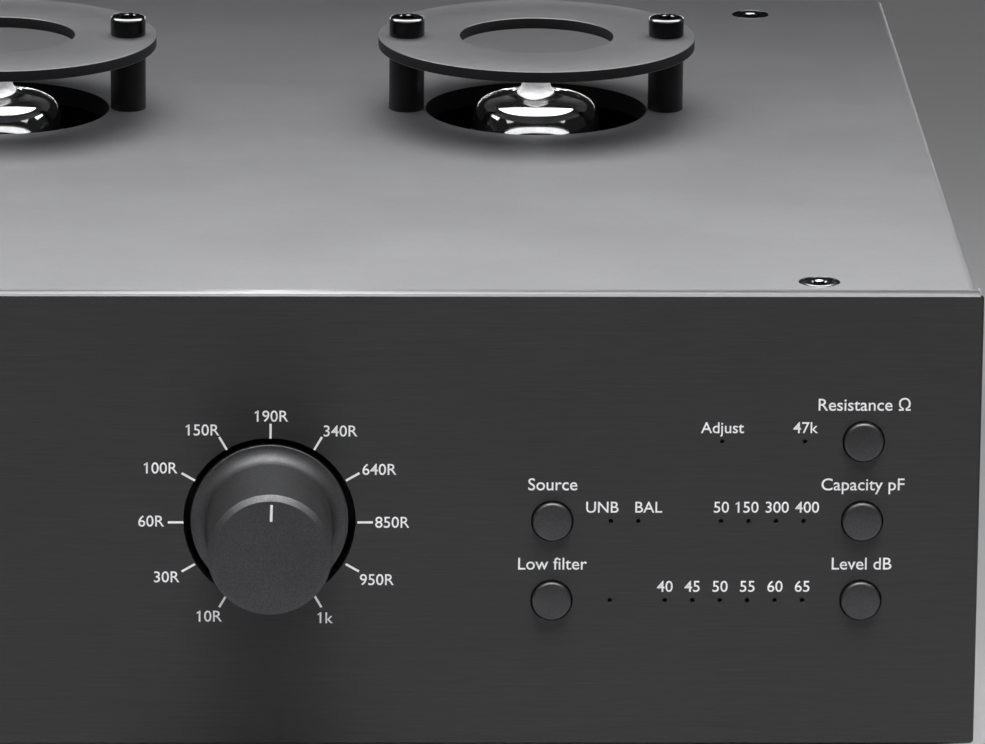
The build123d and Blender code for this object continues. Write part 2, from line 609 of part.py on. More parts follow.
with BuildPart() as rear_rail:
    with BuildSketch(Plane.YZ.offset(-INNER_WIDTH / 2)):
        with Locations((REAR_PANEL_FRONT, UNDER_COVER)):
            Rectangle(REAR_RAIL_LEG, REAR_RAIL_LEG, align=Align.MAX)
        with Locations((REAR_PANEL_FRONT - REAR_RAIL_WALL, UNDER_COVER - REAR_RAIL_WALL)):
            Rectangle(REAR_RAIL_LEG, REAR_RAIL_LEG, align=Align.MAX, mode=Mode.SUBTRACT)
    extrude(amount=INNER_WIDTH)
    with BuildSketch(level(UNDER_COVER)):
        with Locations(*REAR_COVER_SCREWS):
            Circle(TAPPED_RADIUS)
    extrude(amount=-REAR_RAIL_WALL, mode=Mode.SUBTRACT)
    with BuildSketch(upright(REAR_PANEL_FRONT)):
        with Locations(*REAR_TOP_SCREWS):
            Circle(TAPPED_RADIUS)
    extrude(amount=REAR_RAIL_WALL, mode=Mode.SUBTRACT)
save(rear_rail, "rear_rail")

# ---- feet and their screws ----
with BuildPart() as feet:
    with Locations(*[(x, y, 0) for x, y in FOOT_PLACES]):
        Cylinder(FOOT_RADIUS, FOOT_HEIGHT, align=(Align.CENTER, Align.CENTER, Align.MIN))
    chamfer(feet.faces().filter_by(Axis.Z).group_by(Axis.Z)[0].edges(), FOOT_EDGE)
    with BuildSketch(level(0)):
        with Locations(*FOOT_PLACES):
            Circle(PAN_HEAD_RADIUS + SLIP)
    extrude(amount=FOOT_RECESS, mode=Mode.SUBTRACT)
    with BuildSketch(level(FOOT_RECESS)):
        with Locations(*FOOT_PLACES):
            Circle(THROUGH_RADIUS)
    extrude(amount=FOOT_HEIGHT - FOOT_RECESS, mode=Mode.SUBTRACT)
save(feet, "feet")

with BuildPart() as foot_screws:
    with BuildSketch(level(FOOT_RECESS)):
        with Locations(*FOOT_PLACES):
            Circle(PAN_HEAD_RADIUS)
            RegularPolygon(KEY_WIDTH / 2, 6, major_radius=False, mode=Mode.SUBTRACT)
    extrude(amount=-PAN_HEAD_HEIGHT)
    with BuildSketch(level(FOOT_RECESS)):
        with Locations(*FOOT_PLACES):
            Circle(PAN_HEAD_RADIUS)
    extrude(amount=-(PAN_HEAD_HEIGHT - KEY_DEPTH))
    with BuildSketch(level(FOOT_RECESS)):
        with Locations(*FOOT_PLACES):
            Circle(M3_RADIUS)
    extrude(amount=FLOOR - FOOT_RECESS + SCREW_RUNOUT)
save(foot_screws, "foot_screws")

# ---- flush screws of the cover ----
with BuildPart() as cover_screws:
    for x, y in COVER_SCREWS:
        with BuildSketch(beside(x, y, TOP)):
            with BuildLine():
                Polyline(
                    (0, 0),
                    (CONE_HEAD_RADIUS, 0),
                    (M3_RADIUS, M3_RADIUS - CONE_HEAD_RADIUS),
                    (M3_RADIUS, -COVER_SCREW_LENGTH),
                    (0, -COVER_SCREW_LENGTH),
                    close=True,
                )
            make_face()
        revolve(axis=Axis((x, y, 0), (0, 0, 1)))
    with BuildSketch(level(TOP)):
        with Locations(*COVER_SCREWS):
            RegularPolygon(KEY_WIDTH / 2, 6, major_radius=False)
    extrude(amount=-KEY_DEPTH, mode=Mode.SUBTRACT)
save(cover_screws, "cover_screws")

# ---- valve guards: ring, standoffs, cap screws and nuts ----
for side in LEFT_RIGHT:
    posts = [(side * VALVE_X + spread, VALVE_Y) for spread in (-GUARD_SCREW_SPREAD, GUARD_SCREW_SPREAD)]
    with BuildPart() as guard_ring:
        with BuildSketch(level(GUARD_UNDERSIDE)):
            with Locations((side * VALVE_X, VALVE_Y)):
                Circle(GUARD_RADIUS)
                Circle(GUARD_HOLE_RADIUS, mode=Mode.SUBTRACT)
            with Locations(*posts):
                Circle(THROUGH_RADIUS, mode=Mode.SUBTRACT)
        extrude(amount=GUARD_THICKNESS)
        rims = guard_ring.edges().filter_by(GeomType.CIRCLE).group_by(SortBy.RADIUS)
        chamfer(rims[-1] + rims[-2], GUARD_EDGE)
    save(guard_ring, f"guard_ring_{SIDE_NAMES[side]}")

with BuildPart() as guard_standoffs:
    with BuildSketch(level(TOP)):
        with Locations(*GUARD_POSTS):
            Circle(GUARD_STANDOFF_RADIUS)
    extrude(amount=GUARD_STANDOFF_HEIGHT)
    with BuildSketch(level(TOP)):
        with Locations(*GUARD_POSTS):
            Circle(M3_RADIUS)
    extrude(amount=-STANDOFF_STUD)
    with BuildSketch(level(GUARD_UNDERSIDE)):
        with Locations(*GUARD_POSTS):
            Circle(TAPPED_RADIUS)
    extrude(amount=-STANDOFF_THREAD_DEPTH, mode=Mode.SUBTRACT)
save(guard_standoffs, "guard_standoffs")

with BuildPart() as guard_screws:
    with BuildSketch(level(GUARD_TOP)):
        with Locations(*GUARD_POSTS):
            Circle(CAP_HEAD_RADIUS)
    extrude(amount=CAP_HEAD_HEIGHT)
    fillet(guard_screws.faces().filter_by(Axis.Z).group_by(Axis.Z)[-1].edges(), CAP_HEAD_EDGE)
    with BuildSketch(level(GUARD_TOP)):
        with Locations(*GUARD_POSTS):
            Circle(M3_RADIUS)
    extrude(amount=-CAP_SCREW_LENGTH)
    with BuildSketch(level(GUARD_TOP + CAP_HEAD_HEIGHT)):
        with Locations(*GUARD_POSTS):
            RegularPolygon(CAP_KEY_WIDTH / 2, 6, major_radius=False)
    extrude(amount=-CAP_KEY_DEPTH, mode=Mode.SUBTRACT)
save(guard_screws, "guard_screws")

with BuildPart() as standoff_nuts:
    with BuildSketch(level(UNDER_COVER)):
        with Locations(*GUARD_POSTS):
            RegularPolygon(NUT_RADIUS, 6)
            Circle(TAPPED_RADIUS, mode=Mode.SUBTRACT)
    extrude(amount=-NUT_HEIGHT)
save(standoff_nuts, "standoff_nuts")

# ---- valves: glass envelope, electrodes on their pins, socket ----
for side in LEFT_RIGHT:
    axis = Axis((side * VALVE_X, VALVE_Y, 0), (0, 0, 1))
    inner = VALVE_RADIUS - VALVE_GLASS_WALL
    roof = -DOME_TIP[0][1] - VALVE_GLASS_WALL
    foot = VALVE_RADIUS - GLASS_FOOT_RADIUS
    with BuildPart() as valve_glass:
        with BuildSketch(beside(side * VALVE_X, VALVE_Y, VALVE_TIP)):
            with BuildLine():
                Line((0, -VALVE_LENGTH), (foot, -VALVE_LENGTH))
                RadiusArc(
                    (foot, -VALVE_LENGTH),
                    (VALVE_RADIUS, GLASS_FOOT_RADIUS - VALVE_LENGTH),
                    -GLASS_FOOT_RADIUS,
                )
                Line((VALVE_RADIUS, GLASS_FOOT_RADIUS - VALVE_LENGTH), (VALVE_RADIUS, -DOME_DROP))
                Spline(
                    (VALVE_RADIUS, -DOME_DROP),
                    *[(VALVE_RADIUS - inset, -drop) for inset, drop in DOME_SHOULDER],
                    *[(radius, -drop) for radius, drop in DOME_TIP],
                    (0, 0),
                    tangents=((0, 1), (-1, 0)),
                )
                Line((0, 0), (0, -VALVE_LENGTH))
            make_face()
        revolve(axis=axis)
        with BuildSketch(beside(side * VALVE_X, VALVE_Y, VALVE_TIP)):
            with BuildLine():
                Polyline(
                    (0, GLASS_BASE - VALVE_LENGTH),
                    (inner, GLASS_BASE - VALVE_LENGTH),
                    (inner, -DOME_DROP),
                )
                Spline(
                    (inner, -DOME_DROP),
                    *[(inner - inset, -drop - VALVE_GLASS_WALL) for inset, drop in DOME_SHOULDER],
                    (0, roof),
                    tangents=((0, 1), (-1, 0)),
                )
                Line((0, roof), (0, GLASS_BASE - VALVE_LENGTH))
            make_face()
        revolve(axis=axis, mode=Mode.SUBTRACT)
        with BuildSketch(level(VALVE_SEAT)):
            with Locations(*pin_places(side)):
                Circle(PIN_RADIUS + PIN_GAP)
        extrude(amount=GLASS_BASE, mode=Mode.SUBTRACT)
    save(valve_glass, f"valve_glass_{SIDE_NAMES[side]}")

    lower_mica = VALVE_SEAT + MICA_LOW
    upper_mica = lower_mica + MICA_THICKNESS + ANODE_HEIGHT
    with BuildPart() as valve_electrodes:
        with BuildSketch(level(VALVE_SEAT - PIN_LENGTH)):
            with Locations(*pin_places(side)):
                Circle(PIN_RADIUS)
        extrude(amount=PIN_LENGTH + MICA_LOW)
        for height in (lower_mica, upper_mica):
            with BuildSketch(level(height)):
                with Locations((side * VALVE_X, VALVE_Y)):
                    Circle(MICA_RADIUS)
            extrude(amount=MICA_THICKNESS)
        with BuildSketch(level(lower_mica + MICA_THICKNESS)):
            with Locations((side * VALVE_X, VALVE_Y)):
                with GridLocations(ANODE_WIDTH + ANODE_GAP, 1, 2, 1):
                    RectangleRounded(ANODE_WIDTH, ANODE_DEPTH, ANODE_CORNER)
        extrude(amount=ANODE_HEIGHT)
        with BuildSketch(level(upper_mica + MICA_THICKNESS)):
            with Locations((side * VALVE_X, VALVE_Y + GETTER_RADIUS)):
                Circle(GETTER_POST_RADIUS)
        extrude(amount=VALVE_SEAT + GETTER_HEIGHT - upper_mica - MICA_THICKNESS)
        with Locations((side * VALVE_X, VALVE_Y, VALVE_SEAT + GETTER_HEIGHT)):
            Torus(GETTER_RADIUS, GETTER_WIRE)
    save(valve_electrodes, f"valve_electrodes_{SIDE_NAMES[side]}")

    with BuildPart() as valve_socket:
        with BuildSketch(level(BOARD_TOP)):
            with Locations((side * VALVE_X, VALVE_Y)):
                Circle(SOCKET_RADIUS)
                Circle(SOCKET_CENTRE_RADIUS, mode=Mode.SUBTRACT)
        extrude(amount=VALVE_SEAT - BOARD_TOP)
        with BuildSketch(level(VALVE_SEAT)):
            with Locations(*pin_places(side)):
                Circle(PIN_RADIUS + PIN_GAP)
        extrude(amount=-PIN_LENGTH - SLIP, mode=Mode.SUBTRACT)
        with BuildSketch(level(BOARD_TOP)):
            with Locations(*pin_places(side)):
                Circle(PIN_RADIUS)
        extrude(amount=-SOCKET_LEG_LENGTH)
    save(valve_socket, f"valve_socket_{SIDE_NAMES[side]}")

# ---- main board on its standoffs ----
with BuildPart() as main_board:
    with BuildSketch(level(BOARD_UNDERSIDE)):
        with Locations((0, (MAIN_BOARD_FRONT + MAIN_BOARD_REAR) / 2)):
            Rectangle(MAIN_BOARD_WIDTH, MAIN_BOARD_REAR - MAIN_BOARD_FRONT)
        with Locations(*STANDOFF_PLACES):
            Circle(THROUGH_RADIUS, mode=Mode.SUBTRACT)
        with Locations(*pin_places(-1), *pin_places(1)):
            Circle(PIN_RADIUS + SLIP, mode=Mode.SUBTRACT)
    extrude(amount=BOARD_THICKNESS)
save(main_board, "main_board")

with BuildPart() as board_standoffs:
    with BuildSketch(level(FLOOR)):
        with Locations(*STANDOFF_PLACES):
            Circle(POST_RADIUS)
    extrude(amount=MAIN_BOARD_STANDOFF)
    with BuildSketch(level(FLOOR)):
        with Locations(*STANDOFF_PLACES):
            Circle(M3_RADIUS)
    extrude(amount=-TRAY_WALL)
    with BuildSketch(level(BOARD_UNDERSIDE)):
        with Locations(*STANDOFF_PLACES):
            Circle(TAPPED_RADIUS)
    extrude(amount=-POST_THREAD_DEPTH, mode=Mode.SUBTRACT)
    with BuildSketch(upright(PANEL_BACK)):
        with Locations(*CONTROL_POSTS):
            Circle(POST_RADIUS)
    extrude(amount=-CONTROL_BOARD_GAP)
    with BuildSketch(upright(PANEL_BACK)):
        with Locations(*CONTROL_POSTS):
            Circle(M3_RADIUS)
    extrude(amount=POST_STUD_LENGTH)
    with BuildSketch(upright(CONTROL_FRONT)):
        with Locations(*CONTROL_POSTS):
            Circle(TAPPED_RADIUS)
    extrude(amount=POST_THREAD_DEPTH, mode=Mode.SUBTRACT)
save(board_standoffs, "board_standoffs")

with BuildPart() as board_screws:
    with BuildSketch(level(BOARD_TOP)):
        with Locations(*STANDOFF_PLACES):
            Circle(PAN_HEAD_RADIUS)
    extrude(amount=PAN_HEAD_HEIGHT)
    with BuildSketch(level(BOARD_TOP)):
        with Locations(*STANDOFF_PLACES):
            Circle(M3_RADIUS)
    extrude(amount=-BOARD_SCREW_LENGTH)
    with BuildSketch(upright(CONTROL_BACK)):
        with Locations(*CONTROL_POSTS):
            Circle(PAN_HEAD_RADIUS)
    extrude(amount=-PAN_HEAD_HEIGHT)
    with BuildSketch(upright(CONTROL_BACK)):
        with Locations(*CONTROL_POSTS):
            Circle(M3_RADIUS)
    extrude(amount=BOARD_SCREW_LENGTH)
save(board_screws, "board_screws")

# ---- parts on the main board ----
with BuildPart() as filter_capacitors:
    with BuildSketch(level(BOARD_TOP)):
        with Locations((FILTER_CAP_X, FACE + FILTER_CAP_DEPTH)):
            with GridLocations(FILTER_CAP_PITCH_X, FILTER_CAP_PITCH_Y, 2, 2):
                Circle(FILTER_CAP_RADIUS)
    extrude(amount=FILTER_CAP_HEIGHT)
    fillet(filter_capacitors.faces().filter_by(Axis.Z).group_by(Axis.Z)[-1].edges(), FILTER_CAP_EDGE)
save(filter_capacitors, "filter_capacitors")

with BuildPart() as film_capacitors:
    with BuildSketch(level(BOARD_TOP)):
        for side in LEFT_RIGHT:
            with Locations((side * FILM_CAP_X, VALVE_Y - FILM_CAP_LEAD)):
                with GridLocations(1, FILM_CAP_PITCH, 1, FILM_CAPS_PER_SIDE):
                    Rectangle(FILM_CAP_LENGTH, FILM_CAP_WIDTH)
    extrude(amount=FILM_CAP_HEIGHT)
save(film_capacitors, "film_capacitors")

with BuildPart() as relays:
    with BuildSketch(level(BOARD_TOP)):
        with Locations((0, MAIN_BOARD_REAR - RELAY_INSET)):
            with GridLocations(RELAY_PITCH, 1, RELAY_COUNT, 1):
                Rectangle(RELAY_LENGTH, RELAY_WIDTH)
    extrude(amount=RELAY_HEIGHT)
save(relays, "relays")

with BuildPart() as amplifier_chips:
    with BuildSketch(level(BOARD_TOP)):
        for side in LEFT_RIGHT:
            with Locations((side * CHIP_X, VALVE_Y)):
                with GridLocations(1, CHIP_PITCH, 1, 2):
                    Rectangle(CHIP_LENGTH, CHIP_WIDTH)
    extrude(amount=CHIP_HEIGHT)
save(amplifier_chips, "amplifier_chips")

with BuildPart() as heat_sink:
    with BuildSketch(level(BOARD_TOP)):
        with Locations((SINK_X, SINK_Y)):
            Rectangle(SINK_WIDTH, SINK_BASE, align=(Align.CENTER, Align.MIN))
            with GridLocations((SINK_WIDTH - SINK_FIN) / (SINK_FINS - 1), 1, SINK_FINS, 1):
                Rectangle(SINK_FIN, SINK_FIN_LENGTH, align=(Align.CENTER, Align.MIN))
    extrude(amount=SINK_HEIGHT)
save(heat_sink, "heat_sink")

with BuildPart() as voltage_regulators:
    with BuildSketch(level(BOARD_TOP + REGULATOR_RISE)):
        with Locations((SINK_X, SINK_Y)):
            with GridLocations(REGULATOR_PITCH, 1, 2, 1):
                Rectangle(REGULATOR_WIDTH, REGULATOR_THICKNESS, align=(Align.CENTER, Align.MAX))
    extrude(amount=REGULATOR_HEIGHT)
    with BuildSketch(level(BOARD_TOP)):
        with Locations((SINK_X, SINK_Y - REGULATOR_THICKNESS / 2)):
            with GridLocations(REGULATOR_PITCH, 1, 2, 1):
                with GridLocations(LEG_PITCH, 1, LEGS_PER_REGULATOR, 1):
                    Rectangle(LEG_WIDTH, LEG_THICKNESS)
    extrude(amount=REGULATOR_RISE)
save(voltage_regulators, "voltage_regulators")

# ---- control board with its switches, lamps and light guides ----
with BuildPart() as control_board:
    with BuildSketch(upright(CONTROL_FRONT)):
        with Locations((0, (CONTROL_BOARD_LOW + CONTROL_BOARD_HIGH) / 2)):
            Rectangle(CONTROL_BOARD_WIDTH, CONTROL_BOARD_HIGH - CONTROL_BOARD_LOW)
        with Locations((0, MIDDLE)):
            Circle(DIAL_BUSH_RADIUS + SLIP, mode=Mode.SUBTRACT)
        with Locations(*CONTROL_POSTS):
            Circle(THROUGH_RADIUS, mode=Mode.SUBTRACT)
    extrude(amount=-BOARD_THICKNESS)
save(control_board, "control_board")

with BuildPart() as switch_housings:
    with BuildSketch(upright(SWITCH_FRONT)):
        with Locations(*BUTTONS.values()):
            Rectangle(SWITCH_SIZE, SWITCH_SIZE)
            Circle(PLUNGER_RADIUS + SWITCH_BORE_GAP, mode=Mode.SUBTRACT)
    extrude(amount=-SWITCH_HEIGHT)
save(switch_housings, "switch_housings")

for node, (x, z) in BUTTONS.items():
    flange_front = PANEL_BACK + BUTTON_BACK_GAP
    plunger_front = SWITCH_FRONT - PLUNGER_PROUD
    with BuildPart() as button:
        with BuildSketch(upright(FACE - BUTTON_PROUD)):
            with Locations((x, z)):
                Circle(BUTTON_RADIUS)
        extrude(amount=-(flange_front - FACE + BUTTON_PROUD))
        fillet(button.faces().sort_by(Axis.Y)[0].edges(), BUTTON_EDGE_RADIUS)
        with BuildSketch(upright(flange_front)):
            with Locations((x, z)):
                Circle(BUTTON_FLANGE_RADIUS)
        extrude(amount=-BUTTON_FLANGE_THICKNESS)
        with BuildSketch(upright(flange_front)):
            with Locations((x, z)):
                Circle(STEM_RADIUS)
        extrude(amount=-(plunger_front - flange_front - TAPPED_GAP))
        with BuildSketch(upright(plunger_front)):
            with Locations((x, z)):
                Circle(PLUNGER_RADIUS)
        extrude(amount=-PLUNGER_LENGTH)
    save(button, node)

with BuildPart() as light_guides:
    with BuildSketch(upright(FACE + LAMP_GUIDE_RECESS)):
        with Locations(*LAMPS):
            Circle(LAMP_HOLE_RADIUS - LAMP_GUIDE_GAP)
    extrude(amount=-(PANEL_THICKNESS - LAMP_GUIDE_RECESS + BUTTON_BACK_GAP))
    with BuildSketch(upright(PANEL_BACK + BUTTON_BACK_GAP)):
        with Locations(*LAMPS):
            Circle(GUIDE_COLLAR_RADIUS)
    extrude(amount=-(GUIDE_BACK - PANEL_BACK - BUTTON_BACK_GAP))
save(light_guides, "light_guides")

with BuildPart() as indicator_lamps:
    with BuildSketch(upright(GUIDE_BACK)):
        with Locations(*LAMPS):
            Rectangle(LAMP_SIZE, LAMP_SIZE)
    extrude(amount=-(CONTROL_FRONT - GUIDE_BACK))
save(indicator_lamps, "indicator_lamps")

# ---- rotary control: body and nut on the board, shaft and knob turn together ----
KNOB_AXIS = Axis((0, 0, MIDDLE), (0, 1, 0))
with BuildPart() as potentiometer_body:
    with BuildSketch(upright(CONTROL_BACK)):
        with Locations((0, MIDDLE)):
            RectangleRounded(DIAL_BODY_SIZE, DIAL_BODY_SIZE, DIAL_BODY_CORNER)
    extrude(amount=-DIAL_BODY_LENGTH)
    with BuildSketch(upright(BUSH_FRONT)):
        with Locations((0, MIDDLE)):
            Circle(DIAL_BUSH_RADIUS)
    extrude(amount=-(CONTROL_BACK - BUSH_FRONT))
    with BuildSketch(upright(BUSH_FRONT)):
        with Locations((0, MIDDLE)):
            Circle(SHAFT_RADIUS + SHAFT_RUNNING_GAP)
    extrude(amount=-(SHAFT_BACK + SLIP - BUSH_FRONT), mode=Mode.SUBTRACT)
save(potentiometer_body, "potentiometer_body")

with BuildPart() as potentiometer_shaft:
    with BuildSketch(upright(SHAFT_FRONT)):
        with Locations((0, MIDDLE)):
            Circle(SHAFT_RADIUS)
    extrude(amount=-(SHAFT_BACK - SHAFT_FRONT))
save(potentiometer_shaft, "potentiometer_shaft")

with BuildPart() as knob:
    with BuildSketch(along(0, FACE, MIDDLE)):
        with BuildLine():
            Polyline(
                (KNOB_SKIRT_LENGTH, 0),
                (-KNOB_PROJECTION, 0),
                (-KNOB_PROJECTION, KNOB_FACE_RADIUS),
                (KNOB_RADIUS - KNOB_SKIRT_RADIUS, KNOB_RADIUS),
            )
            RadiusArc(
                (KNOB_RADIUS - KNOB_SKIRT_RADIUS, KNOB_RADIUS),
                (0, KNOB_SKIRT_RADIUS),
                -(KNOB_SKIRT_RADIUS - KNOB_RADIUS),
            )
            Polyline((0, KNOB_SKIRT_RADIUS), (KNOB_SKIRT_LENGTH, KNOB_SKIRT_RADIUS), (KNOB_SKIRT_LENGTH, 0))
        make_face()
    revolve(axis=KNOB_AXIS)
    fillet(knob.faces().sort_by(Axis.Y)[0].edges(), KNOB_EDGE_RADIUS)
    with BuildSketch(upright(FACE + KNOB_SKIRT_LENGTH)):
        with Locations((0, MIDDLE)):
            Circle(SHAFT_RADIUS + SHAFT_BORE_GAP)
    extrude(amount=SHAFT_GRIP + SLIP, mode=Mode.SUBTRACT)
    with BuildSketch(upright(FACE - KNOB_PROJECTION)):
        with Locations((0, MIDDLE + KNOB_FACE_RADIUS - POINTER_MARGIN)):
            Rectangle(POINTER_WIDTH, POINTER_LENGTH, align=(Align.CENTER, Align.MAX))
    extrude(amount=-POINTER_DEPTH, mode=Mode.SUBTRACT)
    with BuildSketch(level(MIDDLE - SHAFT_RADIUS)):
        with Locations((0, GRUB_Y)):
            Circle(GRUB_RADIUS + TAPPED_GAP)
    extrude(amount=-KNOB_RADIUS, mode=Mode.SUBTRACT)
save(knob, "knob")

with BuildPart() as knob_grub_screw:
    with BuildSketch(level(MIDDLE - SHAFT_RADIUS - TAPPED_GAP)):
        with Locations((0, GRUB_Y)):
            Circle(GRUB_RADIUS)
    extrude(amount=-(KNOB_RADIUS - SHAFT_RADIUS - GRUB_RECESS))
    with BuildSketch(level(MIDDLE - KNOB_RADIUS + GRUB_RECESS - TAPPED_GAP)):
        with Locations((0, GRUB_Y)):
            RegularPolygon(GRUB_KEY_WIDTH / 2, 6, major_radius=False)
    extrude(amount=GRUB_KEY_DEPTH, mode=Mode.SUBTRACT)
save(knob_grub_screw, "knob_grub_screw")

# ---- phono sockets: threaded barrel, coloured insert, contact ----
with BuildPart() as phono_shells:
    with BuildSketch(upright(TAIL_START)):
        with Locations(*PHONO_PLACES):
            Circle(PHONO_THREAD_RADIUS)
    extrude(amount=-(REAR_FACE - TAIL_START))
    with BuildSketch(upright(REAR_FACE)):
        with Locations(*PHONO_PLACES):
            RegularPolygon(PHONO_FLANGE_RADIUS, 6)
    extrude(amount=-PHONO_FLANGE)
    with BuildSketch(upright(REAR_FACE)):
        with Locations(*PHONO_PLACES):
            Circle(PHONO_BARREL_RADIUS)
    extrude(amount=-PHONO_BARREL_LENGTH)
    with BuildSketch(upright(TAIL_START)):
        with Locations(*PHONO_PLACES):
            Circle(INSERT_RADIUS + TAPPED_GAP)
    extrude(amount=-(BARREL_END - TAIL_START), mode=Mode.SUBTRACT)
save(phono_shells, "phono_shells")

for colour, z in zip(("red", "white"), PHONO_ROW_Z):
    with BuildPart() as phono_insert:
        with BuildSketch(upright(TAIL_START)):
            with Locations((-PHONO_X, z), (PHONO_X, z)):
                Circle(INSERT_RADIUS)
                Circle(PHONO_CONTACT_RADIUS + TAPPED_GAP, mode=Mode.SUBTRACT)
        extrude(amount=-(BARREL_END - PHONO_INSERT_SETBACK - TAIL_START))
    save(phono_insert, f"phono_inserts_{colour}")

# ---- balanced sockets: a shell with a square flange, and in it an insert that holds the three contacts ----
for kind, places in (("input", BALANCED_INPUT_X), ("output", BALANCED_OUTPUT_X)):
    with BuildPart() as balanced_shells:
        with BuildSketch(upright(REAR_FACE)):
            with Locations(*[(x, BALANCED_Z) for x in places]):
                RectangleRounded(BALANCED_FLANGE_WIDTH, BALANCED_FLANGE_HEIGHT, BALANCED_FLANGE_CORNER)
        extrude(amount=-BALANCED_FLANGE)
        with BuildSketch(upright(SOCKET_BACK)):
            with Locations(*[(x, BALANCED_Z) for x in places]):
                Circle(BALANCED_BODY_RADIUS)
        extrude(amount=-BALANCED_BODY_LENGTH)
        if kind == "input":
            with BuildSketch(upright(REAR_FACE)):
                with Locations(*[(x, BALANCED_Z) for x in places]):
                    Rectangle(LATCH_HOUSING_WIDTH, LATCH_HOUSING_TOP, align=(Align.CENTER, Align.MIN))
            extrude(amount=LATCH_DEPTH + LATCH_GAP + LATCH_HOUSING_WALL)
        with BuildSketch(upright(SOCKET_BACK)):
            with Locations(*[(x, BALANCED_Z) for x in places]):
                Circle(BALANCED_CAVITY_RADIUS)
        extrude(amount=SOCKET_BACK - FLANGE_FACE, mode=Mode.SUBTRACT)
        with BuildSketch(upright(SOCKET_BACK)):
            with Locations(*[(x, BALANCED_Z) for x in places]):
                Circle(BALANCED_CAVITY_RADIUS - SEAT_GAP)
        extrude(amount=SOCKET_BACK - CAVITY_FLOOR)
        if kind == "input":
            with BuildSketch(upright(CAVITY_FLOOR)):
                with Locations(*[(x, BALANCED_Z) for x in places]):
                    Circle(BALANCED_CORE_RADIUS)
            extrude(amount=-BALANCED_CAVITY_DEPTH)
        with BuildSketch(upright(SOCKET_BACK)):
            with Locations(*[(x, BALANCED_Z) for x in places]):
                with PolarLocations(BALANCED_PIN_CIRCLE, BALANCED_PIN_COUNT, BALANCED_PIN_START):
                    Circle(BALANCED_PIN_RADIUS + TAPPED_GAP)
        extrude(amount=-(BALANCED_BODY_LENGTH + BALANCED_FLANGE), mode=Mode.SUBTRACT)
        with BuildSketch(upright(REAR_FACE)):
            with Locations(*flange_screws(places)):
                Circle(THROUGH_RADIUS)
        extrude(amount=-BALANCED_FLANGE, mode=Mode.SUBTRACT)
        if kind == "input":
            with BuildSketch(upright(FLANGE_FACE)):
                with Locations(*[(x, BALANCED_Z + LATCH_RISE) for x in places]):
                    Rectangle(LATCH_SLOT_WIDTH, LATCH_SLOT_HEIGHT, align=(Align.CENTER, Align.MIN))
            extrude(amount=BALANCED_FLANGE + LATCH_DEPTH + LATCH_GAP, mode=Mode.SUBTRACT)
    save(balanced_shells, f"balanced_{kind}_shells")

for side, x in zip(LEFT_RIGHT, BALANCED_INPUT_X):
    with BuildPart() as latch:
        with BuildSketch(upright(REAR_FACE - LATCH_DEPTH)):
            with Locations((x, BALANCED_Z + LATCH_LOW)):
                Rectangle(LATCH_WIDTH, LATCH_HEIGHT, align=(Align.CENTER, Align.MIN))
        extrude(amount=-(LATCH_DEPTH + BALANCED_FLANGE + LATCH_PROUD))
        fillet(latch.faces().sort_by(Axis.Y)[-1].edges(), LATCH_EDGE)
    save(latch, f"latch_{SIDE_NAMES[side]}")

# ---- contacts of every socket ----
with BuildPart() as signal_contacts:
    with BuildSketch(upright(TAIL_START - PHONO_CONTACT_TAIL)):
        with Locations(*PHONO_PLACES):
            Circle(PHONO_CONTACT_RADIUS)
    extrude(amount=-(BARREL_END - PHONO_CONTACT_SETBACK - TAIL_START + PHONO_CONTACT_TAIL))
    with BuildSketch(upright(TAIL_START)):
        with Locations(*PHONO_PLACES):
            Circle(PHONO_BORE_RADIUS)
    extrude(amount=-(BARREL_END - TAIL_START), mode=Mode.SUBTRACT)
    for x in BALANCED_OUTPUT_X:
        with BuildSketch(upright(SOCKET_BACK - BALANCED_PIN_TAIL)):
            with Locations((x, BALANCED_Z)):
                with PolarLocations(BALANCED_PIN_CIRCLE, BALANCED_PIN_COUNT, BALANCED_PIN_START):
                    Circle(BALANCED_PIN_RADIUS)
        extrude(amount=-(FLANGE_FACE - BALANCED_PIN_SETBACK - SOCKET_BACK + BALANCED_PIN_TAIL))
    for x in BALANCED_INPUT_X:
        with BuildSketch(upright(SOCKET_BACK - BALANCED_PIN_TAIL)):
            with Locations((x, BALANCED_Z)):
                with PolarLocations(BALANCED_PIN_CIRCLE, BALANCED_PIN_COUNT, BALANCED_PIN_START):
                    Circle(BALANCED_PIN_RADIUS)
        extrude(amount=-(CAVITY_FLOOR - SOCKET_BACK + BALANCED_PIN_TAIL))
    with BuildSketch(upright(REAR_FACE - DC_BORE_DEPTH)):
        with Locations((DC_X, DC_Z)):
            Circle(DC_PIN_RADIUS)
    extrude(amount=-(DC_BORE_DEPTH - DC_PIN_SETBACK))
save(signal_contacts, "signal_contacts")

# ---- nuts behind the rear panel and on the rotary control ----
with BuildPart() as panel_nuts:
    with BuildSketch(upright(REAR_PANEL_FRONT)):
        with Locations(*PHONO_PLACES):
            RegularPolygon(PHONO_FLANGE_RADIUS, 6)
            Circle(PHONO_THREAD_RADIUS + TAPPED_GAP, mode=Mode.SUBTRACT)
        with Locations((GROUND_X, GROUND_Z)):
            RegularPolygon(GROUND_PANEL_NUT_RADIUS, 6)
            Circle(GROUND_STUD_RADIUS + TAPPED_GAP, mode=Mode.SUBTRACT)
    extrude(amount=PANEL_NUT_HEIGHT)
    with BuildSketch(upright(CONTROL_FRONT)):
        with Locations((0, MIDDLE)):
            RegularPolygon(DIAL_NUT_RADIUS, 6)
            Circle(DIAL_BUSH_RADIUS + TAPPED_GAP, mode=Mode.SUBTRACT)
    extrude(amount=DIAL_NUT_HEIGHT)
save(panel_nuts, "panel_nuts")

